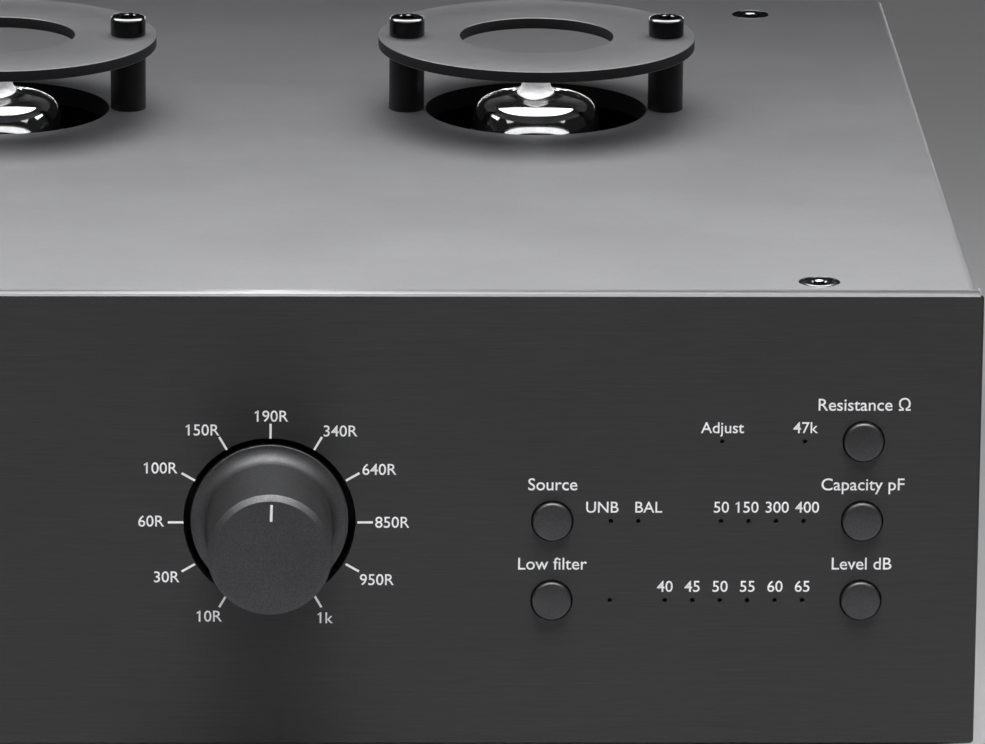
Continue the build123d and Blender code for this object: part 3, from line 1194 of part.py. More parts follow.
# ---- ground terminal: stud, clamping washer and thumb nut ----
with BuildPart() as ground_post:
    with BuildSketch(upright(REAR_PANEL_FRONT - GROUND_STUD_TAIL)):
        with Locations((GROUND_X, GROUND_Z)):
            Circle(GROUND_STUD_RADIUS)
    extrude(amount=-(REAR_PANEL_WALL + GROUND_STUD_TAIL + TERMINAL_REACH))
    chamfer(ground_post.faces().sort_by(Axis.Y)[-1].edges(), GROUND_STUD_EDGE)
    with BuildSketch(upright(REAR_FACE)):
        with Locations((GROUND_X, GROUND_Z)):
            Circle(GROUND_BASE_RADIUS)
    extrude(amount=-GROUND_BASE)
save(ground_post, "ground_post")

with BuildPart() as ground_washer:
    with BuildSketch(upright(WASHER_BACK)):
        with Locations((GROUND_X, GROUND_Z)):
            Circle(GROUND_WASHER_RADIUS)
            Circle(GROUND_STUD_RADIUS + GROUND_SLIDE_GAP, mode=Mode.SUBTRACT)
    extrude(amount=-GROUND_WASHER)
save(ground_washer, "ground_washer")

with BuildPart() as ground_nut:
    with BuildSketch(upright(THUMB_NUT_BACK)):
        with Locations((GROUND_X, GROUND_Z)):
            Circle(GROUND_NUT_RADIUS)
            with PolarLocations(GROUND_NUT_RADIUS, GROUND_KNURLS):
                Circle(GROUND_KNURL_RADIUS, mode=Mode.SUBTRACT)
            Circle(GROUND_STUD_RADIUS + GROUND_SLIDE_GAP, mode=Mode.SUBTRACT)
    extrude(amount=-GROUND_NUT_LENGTH)
save(ground_nut, "ground_nut")

# ---- power inlet ----
with BuildPart() as dc_inlet:
    with BuildSketch(upright(REAR_PANEL_FRONT - DC_BODY_LENGTH)):
        with Locations((DC_X, DC_Z)):
            Rectangle(DC_BODY_WIDTH, DC_BODY_HEIGHT)
    extrude(amount=-DC_BODY_LENGTH)
    with BuildSketch(upright(REAR_PANEL_FRONT)):
        with Locations((DC_X, DC_Z)):
            Circle(DC_NOSE_RADIUS)
    extrude(amount=-(REAR_PANEL_WALL + DC_NOSE_PROUD))
    with BuildSketch(upright(REAR_FACE + DC_NOSE_PROUD)):
        with Locations((DC_X, DC_Z)):
            Circle(DC_BORE_RADIUS)
    extrude(amount=DC_BORE_DEPTH + DC_NOSE_PROUD, mode=Mode.SUBTRACT)
save(dc_inlet, "dc_inlet")

# ---- screws of the case and of the balanced sockets ----
socket_screws = flange_screws(BALANCED_OUTPUT_X + BALANCED_INPUT_X)
with BuildPart() as case_screws:
    with BuildSketch(upright(REAR_FACE)):
        with Locations(*REAR_TOP_SCREWS, *TRAY_SCREWS):
            Circle(PAN_HEAD_RADIUS)
    extrude(amount=-PAN_HEAD_HEIGHT)
    with BuildSketch(upright(REAR_FACE)):
        with Locations(*REAR_TOP_SCREWS, *TRAY_SCREWS):
            Circle(M3_RADIUS)
    extrude(amount=REAR_SCREW_LENGTH)
    with BuildSketch(upright(FLANGE_FACE)):
        with Locations(*socket_screws):
            Circle(PAN_HEAD_RADIUS)
    extrude(amount=-PAN_HEAD_HEIGHT)
    with BuildSketch(upright(FLANGE_FACE)):
        with Locations(*socket_screws):
            Circle(M3_RADIUS)
    extrude(amount=SOCKET_SCREW_LENGTH)
    with BuildSketch(upright(REAR_FACE + PAN_HEAD_HEIGHT)):
        with Locations(*REAR_TOP_SCREWS, *TRAY_SCREWS):
            RegularPolygon(KEY_WIDTH / 2, 6, major_radius=False)
    extrude(amount=KEY_DEPTH, mode=Mode.SUBTRACT)
    with BuildSketch(upright(FLANGE_FACE + PAN_HEAD_HEIGHT)):
        with Locations(*socket_screws):
            RegularPolygon(KEY_WIDTH / 2, 6, major_radius=False)
    extrude(amount=KEY_DEPTH, mode=Mode.SUBTRACT)
save(case_screws, "case_screws")

with BuildPart() as panel_screws:
    with BuildSketch(upright(PANEL_BACK + FRONT_RAIL_DEPTH)):
        with Locations(*RAIL_SCREWS):
            Circle(PAN_HEAD_RADIUS)
    extrude(amount=-PAN_HEAD_HEIGHT)
    with BuildSketch(upright(PANEL_BACK + FRONT_RAIL_DEPTH)):
        with Locations(*RAIL_SCREWS):
            Circle(M3_RADIUS)
    extrude(amount=FRONT_RAIL_DEPTH + POST_STUD_LENGTH)
    with BuildSketch(upright(PANEL_BACK + TRAY_WALL)):
        with Locations(*TRAY_SCREWS):
            Circle(PAN_HEAD_RADIUS)
    extrude(amount=-PAN_HEAD_HEIGHT)
    with BuildSketch(upright(PANEL_BACK + TRAY_WALL)):
        with Locations(*TRAY_SCREWS):
            Circle(M3_RADIUS)
    extrude(amount=TRAY_WALL + POST_STUD_LENGTH)
save(panel_screws, "panel_screws")

# ---- flat cable between the boards and its headers ----
with BuildPart() as board_headers:
    with BuildSketch(upright(CONTROL_BACK)):
        with Locations((RIBBON_X, RIBBON_HIGH)):
            Rectangle(RIBBON_WIDTH + 2 * HEADER_MARGIN, HEADER_BODY)
    extrude(amount=-HEADER_HEIGHT)
    with BuildSketch(level(BOARD_TOP)):
        with Locations((RIBBON_X, RIBBON_DROP)):
            Rectangle(RIBBON_WIDTH + 2 * HEADER_MARGIN, HEADER_BODY)
    extrude(amount=HEADER_HEIGHT)
save(board_headers, "board_headers")

with BuildPart() as ribbon_cable:
    half = RIBBON_THICKNESS / 2
    header_face = CONTROL_BACK + HEADER_HEIGHT
    with BuildSketch(Plane.YZ.offset(RIBBON_X - RIBBON_WIDTH / 2)) as ribbon_section:
        with BuildLine():
            Polyline(
                (header_face, RIBBON_HIGH + half),
                (RIBBON_DROP + half, RIBBON_HIGH + half),
                (RIBBON_DROP + half, BOARD_TOP + HEADER_HEIGHT),
                (RIBBON_DROP - half, BOARD_TOP + HEADER_HEIGHT),
                (RIBBON_DROP - half, RIBBON_HIGH - half),
                (header_face, RIBBON_HIGH - half),
                close=True,
            )
        make_face()
        corner = ribbon_section.vertices().sort_by_distance((RIBBON_DROP + half, RIBBON_HIGH + half))
        fillet(corner[0], RIBBON_BEND + half)
        corner = ribbon_section.vertices().sort_by_distance((RIBBON_DROP - half, RIBBON_HIGH - half))
        fillet(corner[0], RIBBON_BEND - half)
    extrude(amount=RIBBON_WIDTH)
save(ribbon_cable, "ribbon_cable")
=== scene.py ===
import json
import math

import bmesh
import bpy
from mathutils import Matrix, Vector


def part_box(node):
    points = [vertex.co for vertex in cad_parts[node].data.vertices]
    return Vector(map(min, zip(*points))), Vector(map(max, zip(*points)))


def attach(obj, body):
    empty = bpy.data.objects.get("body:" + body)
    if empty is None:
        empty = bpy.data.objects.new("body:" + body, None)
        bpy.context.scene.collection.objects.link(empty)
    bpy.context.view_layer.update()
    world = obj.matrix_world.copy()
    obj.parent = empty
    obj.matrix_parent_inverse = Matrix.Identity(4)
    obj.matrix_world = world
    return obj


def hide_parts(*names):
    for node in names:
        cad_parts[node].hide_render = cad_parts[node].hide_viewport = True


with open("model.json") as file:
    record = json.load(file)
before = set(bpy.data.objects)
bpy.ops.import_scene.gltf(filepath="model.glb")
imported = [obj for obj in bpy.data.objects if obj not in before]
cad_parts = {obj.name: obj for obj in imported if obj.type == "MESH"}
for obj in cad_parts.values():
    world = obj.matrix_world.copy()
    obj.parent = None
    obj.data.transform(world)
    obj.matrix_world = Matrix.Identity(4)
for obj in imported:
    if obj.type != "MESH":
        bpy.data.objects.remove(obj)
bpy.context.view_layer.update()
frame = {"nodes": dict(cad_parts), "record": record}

# Two-valve phono preamplifier. Metres, +Z up, front towards -Y, feet on Z = 0.
# Sizes below are in millimetres; MM turns them into metres.

MM = 0.001
NODES = frame["nodes"]
BUTTON_NODES = [name for name in NODES if name.startswith("button_")]

# ---- places read from the frame ----
PANEL_LOW, PANEL_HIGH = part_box("front_panel")
KNOB_LOW, KNOB_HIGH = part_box("knob")
COVER_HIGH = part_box("top_cover")[1]
FACE = PANEL_LOW.y
ROW_MIDDLE = (KNOB_LOW.z + KNOB_HIGH.z) / 2
SELECT_X = (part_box("button_level")[0].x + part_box("button_level")[1].x) / 2
CHOICE_X = (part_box("button_source")[0].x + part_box("button_source")[1].x) / 2

SIDES = ("left", "right")

# ---- directions that turned parts face ----
UP = (0, 0, 1)
FORWARD = (0, -1, 0)


def middle(node):
    """Centre of a CAD node's box."""
    low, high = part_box(node)
    return (low + high) / 2


# ---- materials ----
def blank_material(name):
    """A material with one shader and its output; returns the material, its tree and the shader."""
    material = bpy.data.materials.new(name)
    material.use_nodes = True
    tree = material.node_tree
    tree.nodes.clear()
    shader = tree.nodes.new("ShaderNodeBsdfPrincipled")
    output = tree.nodes.new("ShaderNodeOutputMaterial")
    tree.links.new(shader.outputs["BSDF"], output.inputs["Surface"])
    return material, tree, shader


def grain(tree, size, detail=2.0, stretch=(1, 1, 1)):
    """A noise whose grains are size millimetres across, drawn out along an axis by stretch."""
    place = tree.nodes.new("ShaderNodeTexCoord")
    mapping = tree.nodes.new("ShaderNodeMapping")
    mapping.inputs["Scale"].default_value = [1 / (size * MM * factor) for factor in stretch]
    tree.links.new(place.outputs["Object"], mapping.inputs["Vector"])
    noise = tree.nodes.new("ShaderNodeTexNoise")
    noise.inputs["Scale"].default_value = 1.0
    noise.inputs["Detail"].default_value = detail
    tree.links.new(mapping.outputs["Vector"], noise.inputs["Vector"])
    return noise.outputs["Fac"]


def between(tree, factor, low=0.0, high=1.0, from_low=0.3, from_high=0.7):
    """Map a noise's middle range to the range low to high."""
    ranged = tree.nodes.new("ShaderNodeMapRange")
    ranged.inputs["From Min"].default_value = from_low
    ranged.inputs["From Max"].default_value = from_high
    ranged.inputs["To Min"].default_value = low
    ranged.inputs["To Max"].default_value = high
    tree.links.new(factor, ranged.inputs["Value"])
    return ranged.outputs["Result"]


def blended(tree, factor, first, second, blend="MIX"):
    """Mix two colours or sockets by a factor."""
    mix = tree.nodes.new("ShaderNodeMix")
    mix.data_type = "RGBA"
    mix.blend_type = blend
    sockets = [s for s in mix.inputs if s.type == "RGBA"]
    for socket, value in zip(sockets, (first, second)):
        if isinstance(value, bpy.types.NodeSocket):
            tree.links.new(value, socket)
        else:
            socket.default_value = (*value, 1)
    if isinstance(factor, bpy.types.NodeSocket):
        tree.links.new(factor, mix.inputs["Factor"])
    else:
        mix.inputs["Factor"].default_value = factor
    return next(s for s in mix.outputs if s.type == "RGBA")


def relief(tree, shader, height, depth, strength=1.0):
    """Raise the surface by a noise; depth in millimetres."""
    bump = tree.nodes.new("ShaderNodeBump")
    bump.inputs["Distance"].default_value = depth * MM
    bump.inputs["Strength"].default_value = strength
    tree.links.new(height, bump.inputs["Height"])
    tree.links.new(bump.outputs["Normal"], shader.inputs["Normal"])


def shade(colour, factor):
    """A colour made lighter or darker."""
    return tuple(min(1.0, channel * factor) for channel in colour)


def finish(name, colour, metallic, roughness, size, depth, stretch=(1, 1, 1), drift=0.1, coat=0.0,
           gloss=0.5):
    """A surface with fine grain in its colour, gloss and relief, over slow drifts of tone."""
    material, tree, shader = blank_material(name)
    fine = grain(tree, size, 3.0, stretch)
    slow = grain(tree, 28.0, 2.0)
    tone = blended(tree, between(tree, slow), shade(colour, 1 - drift), shade(colour, 1 + drift))
    speck = blended(tree, between(tree, fine), (1 - drift,) * 3, (1 + drift,) * 3)
    tree.links.new(blended(tree, 1.0, tone, speck, "MULTIPLY"), shader.inputs["Base Color"])
    tree.links.new(between(tree, fine, roughness * 0.88, roughness * 1.12), shader.inputs["Roughness"])
    shader.inputs["Metallic"].default_value = metallic
    shader.inputs["Coat Weight"].default_value = coat
    shader.inputs["Specular IOR Level"].default_value = gloss
    relief(tree, shader, fine, depth)
    return material


BRUSHED_BLACK = (0.0615, 0.0605, 0.0615)
SATIN_BLACK = (0.275, 0.275, 0.285)
PAINTED_TOP_LIGHT = (0.36, 0.36, 0.37)  # painted light on the panel's top face, lighter because it faces the lamps overhead
# painted shade on the walls of the valve holes
PAINTED_HOLE_SHADE = (0.030, 0.030, 0.031)
RISE_START = 0.68           # a face that looks up by less is a side
RISE_END = 0.95             # by more, the top
BRUSHING_DRAW = 0.75        # how far the brushing draws out the gloss
BRUSHING_TURN = 0.25        # share of a turn: across the strokes


def upward(tree):
    """1 on surfaces that face up, 0 on all others."""
    shape = tree.nodes.new("ShaderNodeNewGeometry")
    parts = tree.nodes.new("ShaderNodeSeparateXYZ")
    tree.links.new(shape.outputs["True Normal"], parts.inputs["Vector"])
    return between(tree, parts.outputs["Z"], 0, 1, RISE_START, RISE_END)


def drawn_out(tree, shader):
    """Stretches the gloss across the brushing."""
    along = tree.nodes.new("ShaderNodeTangent")
    along.direction_type = "RADIAL"
    along.axis = "Z"
    tree.links.new(along.outputs["Tangent"], shader.inputs["Tangent"])
    shader.inputs["Anisotropic"].default_value = BRUSHING_DRAW
    shader.inputs["Anisotropic Rotation"].default_value = BRUSHING_TURN


def brushed_anodised():
    """Black anodised plate, finely brushed from side to side."""
    material, tree, shader = blank_material("brushed_anodised")
    strokes = grain(tree, 0.07, 2.0, (60, 1, 1))
    streaks = grain(tree, 0.30, 2.0, (90, 1, 1))
    slow = grain(tree, 40.0, 2.0)
    darker = shade(BRUSHED_BLACK, 0.96)
    lighter = shade(BRUSHED_BLACK, 1.04)
    tone = blended(tree, between(tree, streaks), darker, lighter)
    speck = blended(tree, between(tree, strokes), (0.90,) * 3, (1.10,) * 3)
    lined = blended(tree, 1.0, tone, speck, "MULTIPLY")
    cloud = blended(tree, between(tree, slow), (0.97,) * 3, (1.03,) * 3)
    face = blended(tree, 1.0, lined, cloud, "MULTIPLY")
    # painted light: faces that look up take the lighter colour
    tree.links.new(blended(tree, upward(tree), face, PAINTED_TOP_LIGHT), shader.inputs["Base Color"])
    tree.links.new(between(tree, strokes, 0.42, 0.50), shader.inputs["Roughness"])
    shader.inputs["Metallic"].default_value = 1.0
    drawn_out(tree, shader)
    relief(tree, shader, strokes, 0.0004)
    return material


def distance_from(tree, x, y):
    """Distance of the surface from a vertical axis; metres."""
    place = tree.nodes.new("ShaderNodeTexCoord")
    flat = tree.nodes.new("ShaderNodeVectorMath")
    flat.operation = "MULTIPLY"
    flat.inputs[1].default_value = (1, 1, 0)
    tree.links.new(place.outputs["Object"], flat.inputs[0])
    distance = tree.nodes.new("ShaderNodeVectorMath")
    distance.operation = "DISTANCE"
    distance.inputs[1].default_value = (x, y, 0)
    tree.links.new(flat.outputs["Vector"], distance.inputs[0])
    return distance.outputs["Value"]


def inside_hole(tree, x, y, radius):
    """1 within a radius of a vertical axis, 0 outside; metres."""
    nearer = tree.nodes.new("ShaderNodeMath")
    nearer.operation = "LESS_THAN"
    nearer.inputs[1].default_value = radius
    tree.links.new(distance_from(tree, x, y), nearer.inputs[0])
    return nearer.outputs["Value"]


def satin_anodised(name="satin_anodised", colour=SATIN_BLACK, roughness=0.52, holes=()):
    """Black anodised sheet with a silky finish: a faint grain from side to side, slightly clouded.

    The walls of round holes, given as (x, y, radius), are darkened with painted shade.
    """
    material, tree, shader = blank_material(name)
    silk = grain(tree, 0.14, 3.0, (14, 1, 1))
    cloud = grain(tree, 16.0, 3.0, (1.6, 1, 1))
    dust = grain(tree, 0.25, 1.0)
    tone = blended(tree, between(tree, cloud), shade(colour, 0.95), shade(colour, 1.05))
    lined = blended(tree, between(tree, silk), (0.92,) * 3, (1.08,) * 3)
    speckled = blended(tree, between(tree, dust), (0.96,) * 3, (1.04,) * 3)
    base = blended(tree, 1.0, blended(tree, 1.0, tone, lined, "MULTIPLY"), speckled, "MULTIPLY")
    # painted shade inside each hole
    for x, y, radius in holes:
        base = blended(tree, inside_hole(tree, x, y, radius), base, PAINTED_HOLE_SHADE)
    tree.links.new(base, shader.inputs["Base Color"])
    tree.links.new(between(tree, silk, roughness - 0.03, roughness + 0.03), shader.inputs["Roughness"])
    shader.inputs["Metallic"].default_value = 1.0
    relief(tree, shader, silk, 0.0025)
    return material


def blasted_anodised(name, colour, roughness=0.46, size=0.16, depth=0.008):
    """Bead-blasted black aluminium: even, fine pits that glitter a little."""
    material, tree, shader = blank_material(name)
    pits = grain(tree, size, 1.5)
    coarse = grain(tree, size * 3.2, 2.0)
    cloud = grain(tree, 7.0, 2.0)
    tone = blended(tree, between(tree, cloud), shade(colour, 0.94), shade(colour, 1.06))
    speck = blended(tree, between(tree, pits), (0.74,) * 3, (1.26,) * 3)
    tree.links.new(blended(tree, 1.0, tone, speck, "MULTIPLY"), shader.inputs["Base Color"])
    tree.links.new(between(tree, coarse, roughness - 0.05, roughness + 0.05), shader.inputs["Roughness"])
    shader.inputs["Metallic"].default_value = 1.0
    relief(tree, shader, pits, depth)
    return material


def clear_glass():
    """Thin clear glass with the faintest waviness from being blown."""
    material, tree, shader = blank_material("valve_glass")
    wave = grain(tree, 5.0, 1.0)
    tone = blended(tree, between(tree, wave), (0.96, 0.97, 0.97), (1.0, 1.0, 1.0))
    tree.links.new(tone, shader.inputs["Base Color"])
    shader.inputs["Roughness"].default_value = 0.0
    shader.inputs["IOR"].default_value = 1.48
    shader.inputs["Specular IOR Level"].default_value = 0.25
    shader.inputs["Transmission Weight"].default_value = 1.0
    relief(tree, shader, wave, 0.02, 0.4)
    return material


BRIGHT_FILM_SHIFT = 6.0            # the film's bright middle lies this far in front of the valve's axis
BRIGHT_FILM_REACH = 6.5 * MM       # no painted shade up to here from the bright middle
FULL_SHADE_REACH = 10.5 * MM       # full painted shade from here on
PAINTED_FLANK_SHADE = (0.03, 0.03, 0.03)


def getter_flash(side, x, y):
    """Mirror film inside the dome: bright metal round an upright axis, with painted shade on its flanks
    further out.
    """
    material, tree, shader = blank_material(f"getter_flash_{side}")
    stain = grain(tree, 2.4, 3.0)
    tone = blended(tree, between(tree, stain), (0.60, 0.59, 0.59), (0.76, 0.76, 0.76))
    # painted shade, growing with the distance from the bright middle
    thin = between(tree, distance_from(tree, x, y), 0, 1, BRIGHT_FILM_REACH, FULL_SHADE_REACH)
    tree.links.new(blended(tree, thin, tone, PAINTED_FLANK_SHADE), shader.inputs["Base Color"])
    tree.links.new(between(tree, stain, 0.02, 0.07), shader.inputs["Roughness"])
    shader.inputs["Metallic"].default_value = 1.0
    return material


def pale_tip_highlight():
    """Pale, frosted glass on the tip: a painted highlight."""
    material, tree, shader = blank_material("pale_tip_highlight")
    streak = grain(tree, 1.1, 2.0, (2.2, 1, 0.6))
    tone = blended(tree, between(tree, streak), (0.58, 0.58, 0.59), (0.80, 0.80, 0.81))
    tree.links.new(tone, shader.inputs["Base Color"])
    tree.links.new(between(tree, streak, 0.16, 0.34), shader.inputs["Roughness"])
    shader.inputs["Subsurface Weight"].default_value = 0.25
    shader.inputs["Subsurface Radius"].default_value = (0.002, 0.002, 0.002)
    relief(tree, shader, streak, 0.05)
    return material


def dark_guide():
    """Smoked, matt light guide: black until its lamp is lit."""
    material, tree, shader = blank_material("light_guide")
    fine = grain(tree, 0.1, 1.0)
    tone = blended(tree, between(tree, fine), (0.0012, 0.0012, 0.0013), (0.0022, 0.0022, 0.0023))
    tree.links.new(tone, shader.inputs["Base Color"])
    shader.inputs["Roughness"].default_value = 0.7
    shader.inputs["Specular IOR Level"].default_value = 0.05
    return material


def circuit_board():
    """Black solder mask over faint copper tracks."""
    material, tree, shader = blank_material("circuit_board")
    place = tree.nodes.new("ShaderNodeTexCoord")
    tracks = tree.nodes.new("ShaderNodeTexBrick")
    tracks.inputs["Scale"].default_value = 90.0
    tracks.inputs["Mortar Size"].default_value = 0.05
    tree.links.new(place.outputs["Object"], tracks.inputs["Vector"])
    tracks.inputs["Color1"].default_value = (0.010, 0.013, 0.011, 1)
    tracks.inputs["Color2"].default_value = (0.014, 0.018, 0.015, 1)
    tracks.inputs["Mortar"].default_value = (0.030, 0.036, 0.030, 1)
    tree.links.new(tracks.outputs["Color"], shader.inputs["Base Color"])
    fine = grain(tree, 0.8, 2.0)
    tree.links.new(between(tree, fine, 0.30, 0.42), shader.inputs["Roughness"])
    relief(tree, shader, tracks.outputs["Fac"], 0.02)
    return material


HOLE_RADIUS = 17.3 * MM
EDGE_BAND = 0.05 * MM       # a hole's wall lies within this of its radius
VALVE_HOLES = []
for side in SIDES:
    axis = middle(f"valve_glass_{side}")
    VALVE_HOLES.append((axis.x, axis.y, HOLE_RADIUS + EDGE_BAND))
COVER_FINISH = satin_anodised(holes=VALVE_HOLES)
MATERIALS = {
    "brushed_panel": brushed_anodised(),
    "satin_cover": COVER_FINISH,
    "rear_black": satin_anodised("rear_anodised", (0.040, 0.040, 0.042), 0.45),
    "tray_steel": finish("powder_coat", (0.026, 0.026, 0.027), 0.0, 0.55, 0.5, 0.03),
    "rail_aluminium": finish("mill_aluminium", (0.52, 0.53, 0.54), 1.0, 0.34, 0.12, 0.004, (50, 1, 1)),
    "foot_rubber": finish("foot_rubber", (0.018, 0.018, 0.018), 0.0, 0.72, 0.35, 0.02),
    "guard_black": satin_anodised("guard_anodised", (0.20, 0.20, 0.206), 0.52),
    "standoff_black": finish("standoff_anodised", (0.004, 0.004, 0.005), 0.0, 0.5, 0.12, 0.003,
                             (1, 1, 0.4), gloss=0.22),
    "black_oxide": finish("black_oxide", (0.022, 0.022, 0.023), 1.0, 0.24, 0.2, 0.003),
    "zinc_steel": finish("zinc_steel", (0.55, 0.55, 0.53), 1.0, 0.3, 0.2, 0.003),
    "valve_glass": clear_glass(),
    "valve_metal": finish("grey_nickel", (0.26, 0.26, 0.27), 1.0, 0.42, 0.3, 0.01),
    "socket_ceramic": finish("ceramic", (0.70, 0.67, 0.61), 0.0, 0.28, 0.6, 0.01, coat=0.3),
    "board_black": circuit_board(),
    "capacitor_sleeve": finish("capacitor_sleeve", (0.018, 0.018, 0.026), 0.0, 0.25, 0.8, 0.01),
    "film_case": finish("film_case", (0.32, 0.06, 0.04), 0.0, 0.35, 0.6, 0.01),
    "relay_case": finish("relay_case", (0.66, 0.66, 0.63), 0.0, 0.35, 0.6, 0.01),
    "chip_black": finish("moulded_chip", (0.018, 0.018, 0.018), 0.0, 0.55, 0.2, 0.01),
    "sink_black": finish("sink_anodised", (0.026, 0.026, 0.026), 1.0, 0.45, 0.15, 0.004, (1, 1, 40)),
    "button_black": blasted_anodised("button_anodised", (0.087, 0.087, 0.089), 0.44, 0.10, 0.003),
    "guide_clear": dark_guide(),
    "lamp_lens": finish("lamp_lens", (0.55, 0.60, 0.68), 0.0, 0.2, 0.3, 0.004),
    "control_body": finish("control_body", (0.045, 0.055, 0.065), 0.0, 0.45, 0.3, 0.01),
    "shaft_steel": finish("turned_steel", (0.50, 0.50, 0.51), 1.0, 0.25, 0.08, 0.003, (1, 12, 12)),
    "knob_aluminium": blasted_anodised("knob_anodised", (0.091, 0.091, 0.094), 0.56),
    "socket_plate": finish("gold_plate", (0.83, 0.60, 0.24), 1.0, 0.16, 0.15, 0.002),
    "insert_red": finish("red_insert", (0.42, 0.012, 0.012), 0.0, 0.32, 0.3, 0.005),
    "insert_white": finish("white_insert", (0.78, 0.78, 0.75), 0.0, 0.32, 0.3, 0.005),
    "contact_gold": finish("contact_gold", (0.83, 0.60, 0.24), 1.0, 0.2, 0.15, 0.002),
    "balanced_black": finish("black_die_cast", (0.028, 0.028, 0.029), 1.0, 0.42, 0.35, 0.012),
    "latch_plate": finish("latch_nickel", (0.48, 0.47, 0.45), 1.0, 0.22, 0.1, 0.002, (1, 20, 1)),
    "inlet_black": finish("inlet_moulding", (0.020, 0.020, 0.020), 0.0, 0.5, 0.25, 0.01),
    "ribbon_grey": finish("ribbon_cable", (0.26, 0.26, 0.27), 0.0, 0.5, 0.6, 0.06, (1, 60, 60)),
}
for part in frame["record"]["subparts"]:
    NODES[part["node"]].data.materials.clear()
    NODES[part["node"]].data.materials.append(MATERIALS[part["material_slot"]])
INK = finish("printed_ink", (0.95, 0.95, 0.95), 0.0, 0.45, 0.15, 0.002, drift=0.02)
# painted shade for the rims of the guard rings, darker than their tops
GUARD_RIM_SHADE = finish("guard_rim_shade", (0.016, 0.016, 0.017), 0.0, 0.75, 0.2, 0.003, gloss=0.12)
# painted highlight: bright metal for the glints on the screw heads' edges
PAINTED_GLINT = finish("painted_glint", (0.28, 0.28, 0.29), 1.0, 0.2, 0.2, 0.003)
PAINTED_TIP_HIGHLIGHT = pale_tip_highlight()


# ---- turned parts ----
CREASE = math.radians(32)
ON_AXIS = 1e-9              # metres; a smaller radius is a point on the axis
FINE_EDGE = 0.05            # roundings of small turned parts
BLUNT_EDGE = 0.1


def rounded(corners, steps=5):
    """An outline of (radius, height, rounding) corners, each turned into an arc of its rounding."""
    outline = []
    last = len(corners) - 1
    for k, (radius, height, rounding) in enumerate(corners):
        here = Vector((radius, height))
        if rounding == 0 or k in (0, last):
            outline.append((radius, height))
            continue
        back = (Vector(corners[k - 1][:2]) - here).normalized()
        ahead = (Vector(corners[k + 1][:2]) - here).normalized()
        half = back.angle(ahead) / 2
        reach = rounding / math.tan(half)
        centre = here + (back + ahead).normalized() * (rounding / math.sin(half))
        start = here + back * reach - centre
        end = here + ahead * reach - centre
        for step in range(steps + 1):
            spoke = start.lerp(end, step / steps).normalized() * rounding
            outline.append(tuple(centre + spoke))
    return outline


def ring_radius(radius, sides, angle):
    """Distance out to a circle, or to the flat of a regular polygon, at an angle."""
    if sides == 0:
        return radius
    step = 2 * math.pi / sides
    return radius / math.cos(angle % step - step / 2)


def new_piece(name, mesh, material):
    """An object at the origin whose place is in its mesh."""
    piece = bpy.data.objects.new(name, mesh)
    bpy.context.scene.collection.objects.link(piece)
    mesh.materials.clear()
    mesh.materials.append(material)
    return piece


def crease_edges(shape):
    """Smooth faces, with edges kept sharp where they turn by more than the crease angle."""
    for face in shape.faces:
        face.smooth = True
    for edge in shape.edges:
        edge.smooth = len(edge.link_faces) == 2 and edge.calc_face_angle(math.pi) < CREASE


def turned_mesh(name, outline, steps, loop=False):
    """A mesh turned about Z; points of (radius, height) or (radius, height, sides), in millimetres."""
    shape = bmesh.new()
    rings = []
    for point in outline:
        radius, height = point[0] * MM, point[1] * MM
        sides = point[2] if len(point) > 2 else 0
        if radius < ON_AXIS:
            rings.append([shape.verts.new((0, 0, height))])
            continue
        ring = []
        for step in range(steps):
            angle = 2 * math.pi * step / steps
            out = ring_radius(radius, sides, angle)
            ring.append(shape.verts.new((out * math.cos(angle), out * math.sin(angle), height)))
        rings.append(ring)
    pairs = list(zip(rings, rings[1:]))
    if loop:
        pairs.append((rings[-1], rings[0]))
    for lower, upper in pairs:
        for k in range(steps):
            n = (k + 1) % steps
            corners = []
            corners += [lower[0]] if len(lower) == 1 else [lower[k], lower[n]]
            corners += [upper[0]] if len(upper) == 1 else [upper[n], upper[k]]
            if len(corners) > 2:
                shape.faces.new(corners)
    bmesh.ops.recalc_face_normals(shape, faces=shape.faces)
    crease_edges(shape)
    mesh = bpy.data.meshes.new(name)
    shape.to_mesh(mesh)
    shape.free()
    return mesh


def facing_matrix(place, facing):
    """Stands a part that was turned about Z at a place, with its top towards facing."""
    return Matrix.Translation(Vector(place)) @ Vector(facing).to_track_quat("Z", "Y").to_matrix().to_4x4()


def turned(name, outline, material, place, facing, steps, loop=False):
    """A turned piece, put in its place."""
    mesh = turned_mesh(name, outline, steps, loop)
    mesh.transform(facing_matrix(place, facing))
    return new_piece(name, mesh, material)


# ---- repeated parts ----
def socket_in(group, name):
    """Identifier of a named input of a geometry tree."""
    ends = group.interface.items_tree
    return next(end.identifier for end in ends if end.name == name and end.in_out == "INPUT")


def geometry_group(name, inputs):
    """A new geometry tree with named inputs; returns the tree and its ends."""
    group = bpy.data.node_groups.new(name, "GeometryNodeTree")
    group.interface.new_socket("Geometry", in_out="OUTPUT", socket_type="NodeSocketGeometry")
    group.interface.new_socket("Geometry", in_out="INPUT", socket_type="NodeSocketGeometry")
    for label, kind in inputs:
        group.interface.new_socket(label, in_out="INPUT", socket_type=kind)
    return group, group.nodes.new("NodeGroupInput"), group.nodes.new("NodeGroupOutput")


def put_copies(group, start, end, points, part, turn):
    """Puts a turned copy of a part on each point, in one finish, as the tree's result."""
    copies = group.nodes.new("GeometryNodeInstanceOnPoints")
    group.links.new(points, copies.inputs["Points"])
    group.links.new(part, copies.inputs["Instance"])
    group.links.new(turn, copies.inputs["Rotation"])
    real = group.nodes.new("GeometryNodeRealizeInstances")
    group.links.new(copies.outputs["Instances"], real.inputs["Geometry"])
    dress = group.nodes.new("GeometryNodeSetMaterial")
    group.links.new(real.outputs["Geometry"], dress.inputs["Geometry"])
    group.links.new(start.outputs["Finish"], dress.inputs["Material"])
    group.links.new(dress.outputs["Geometry"], end.inputs["Geometry"])


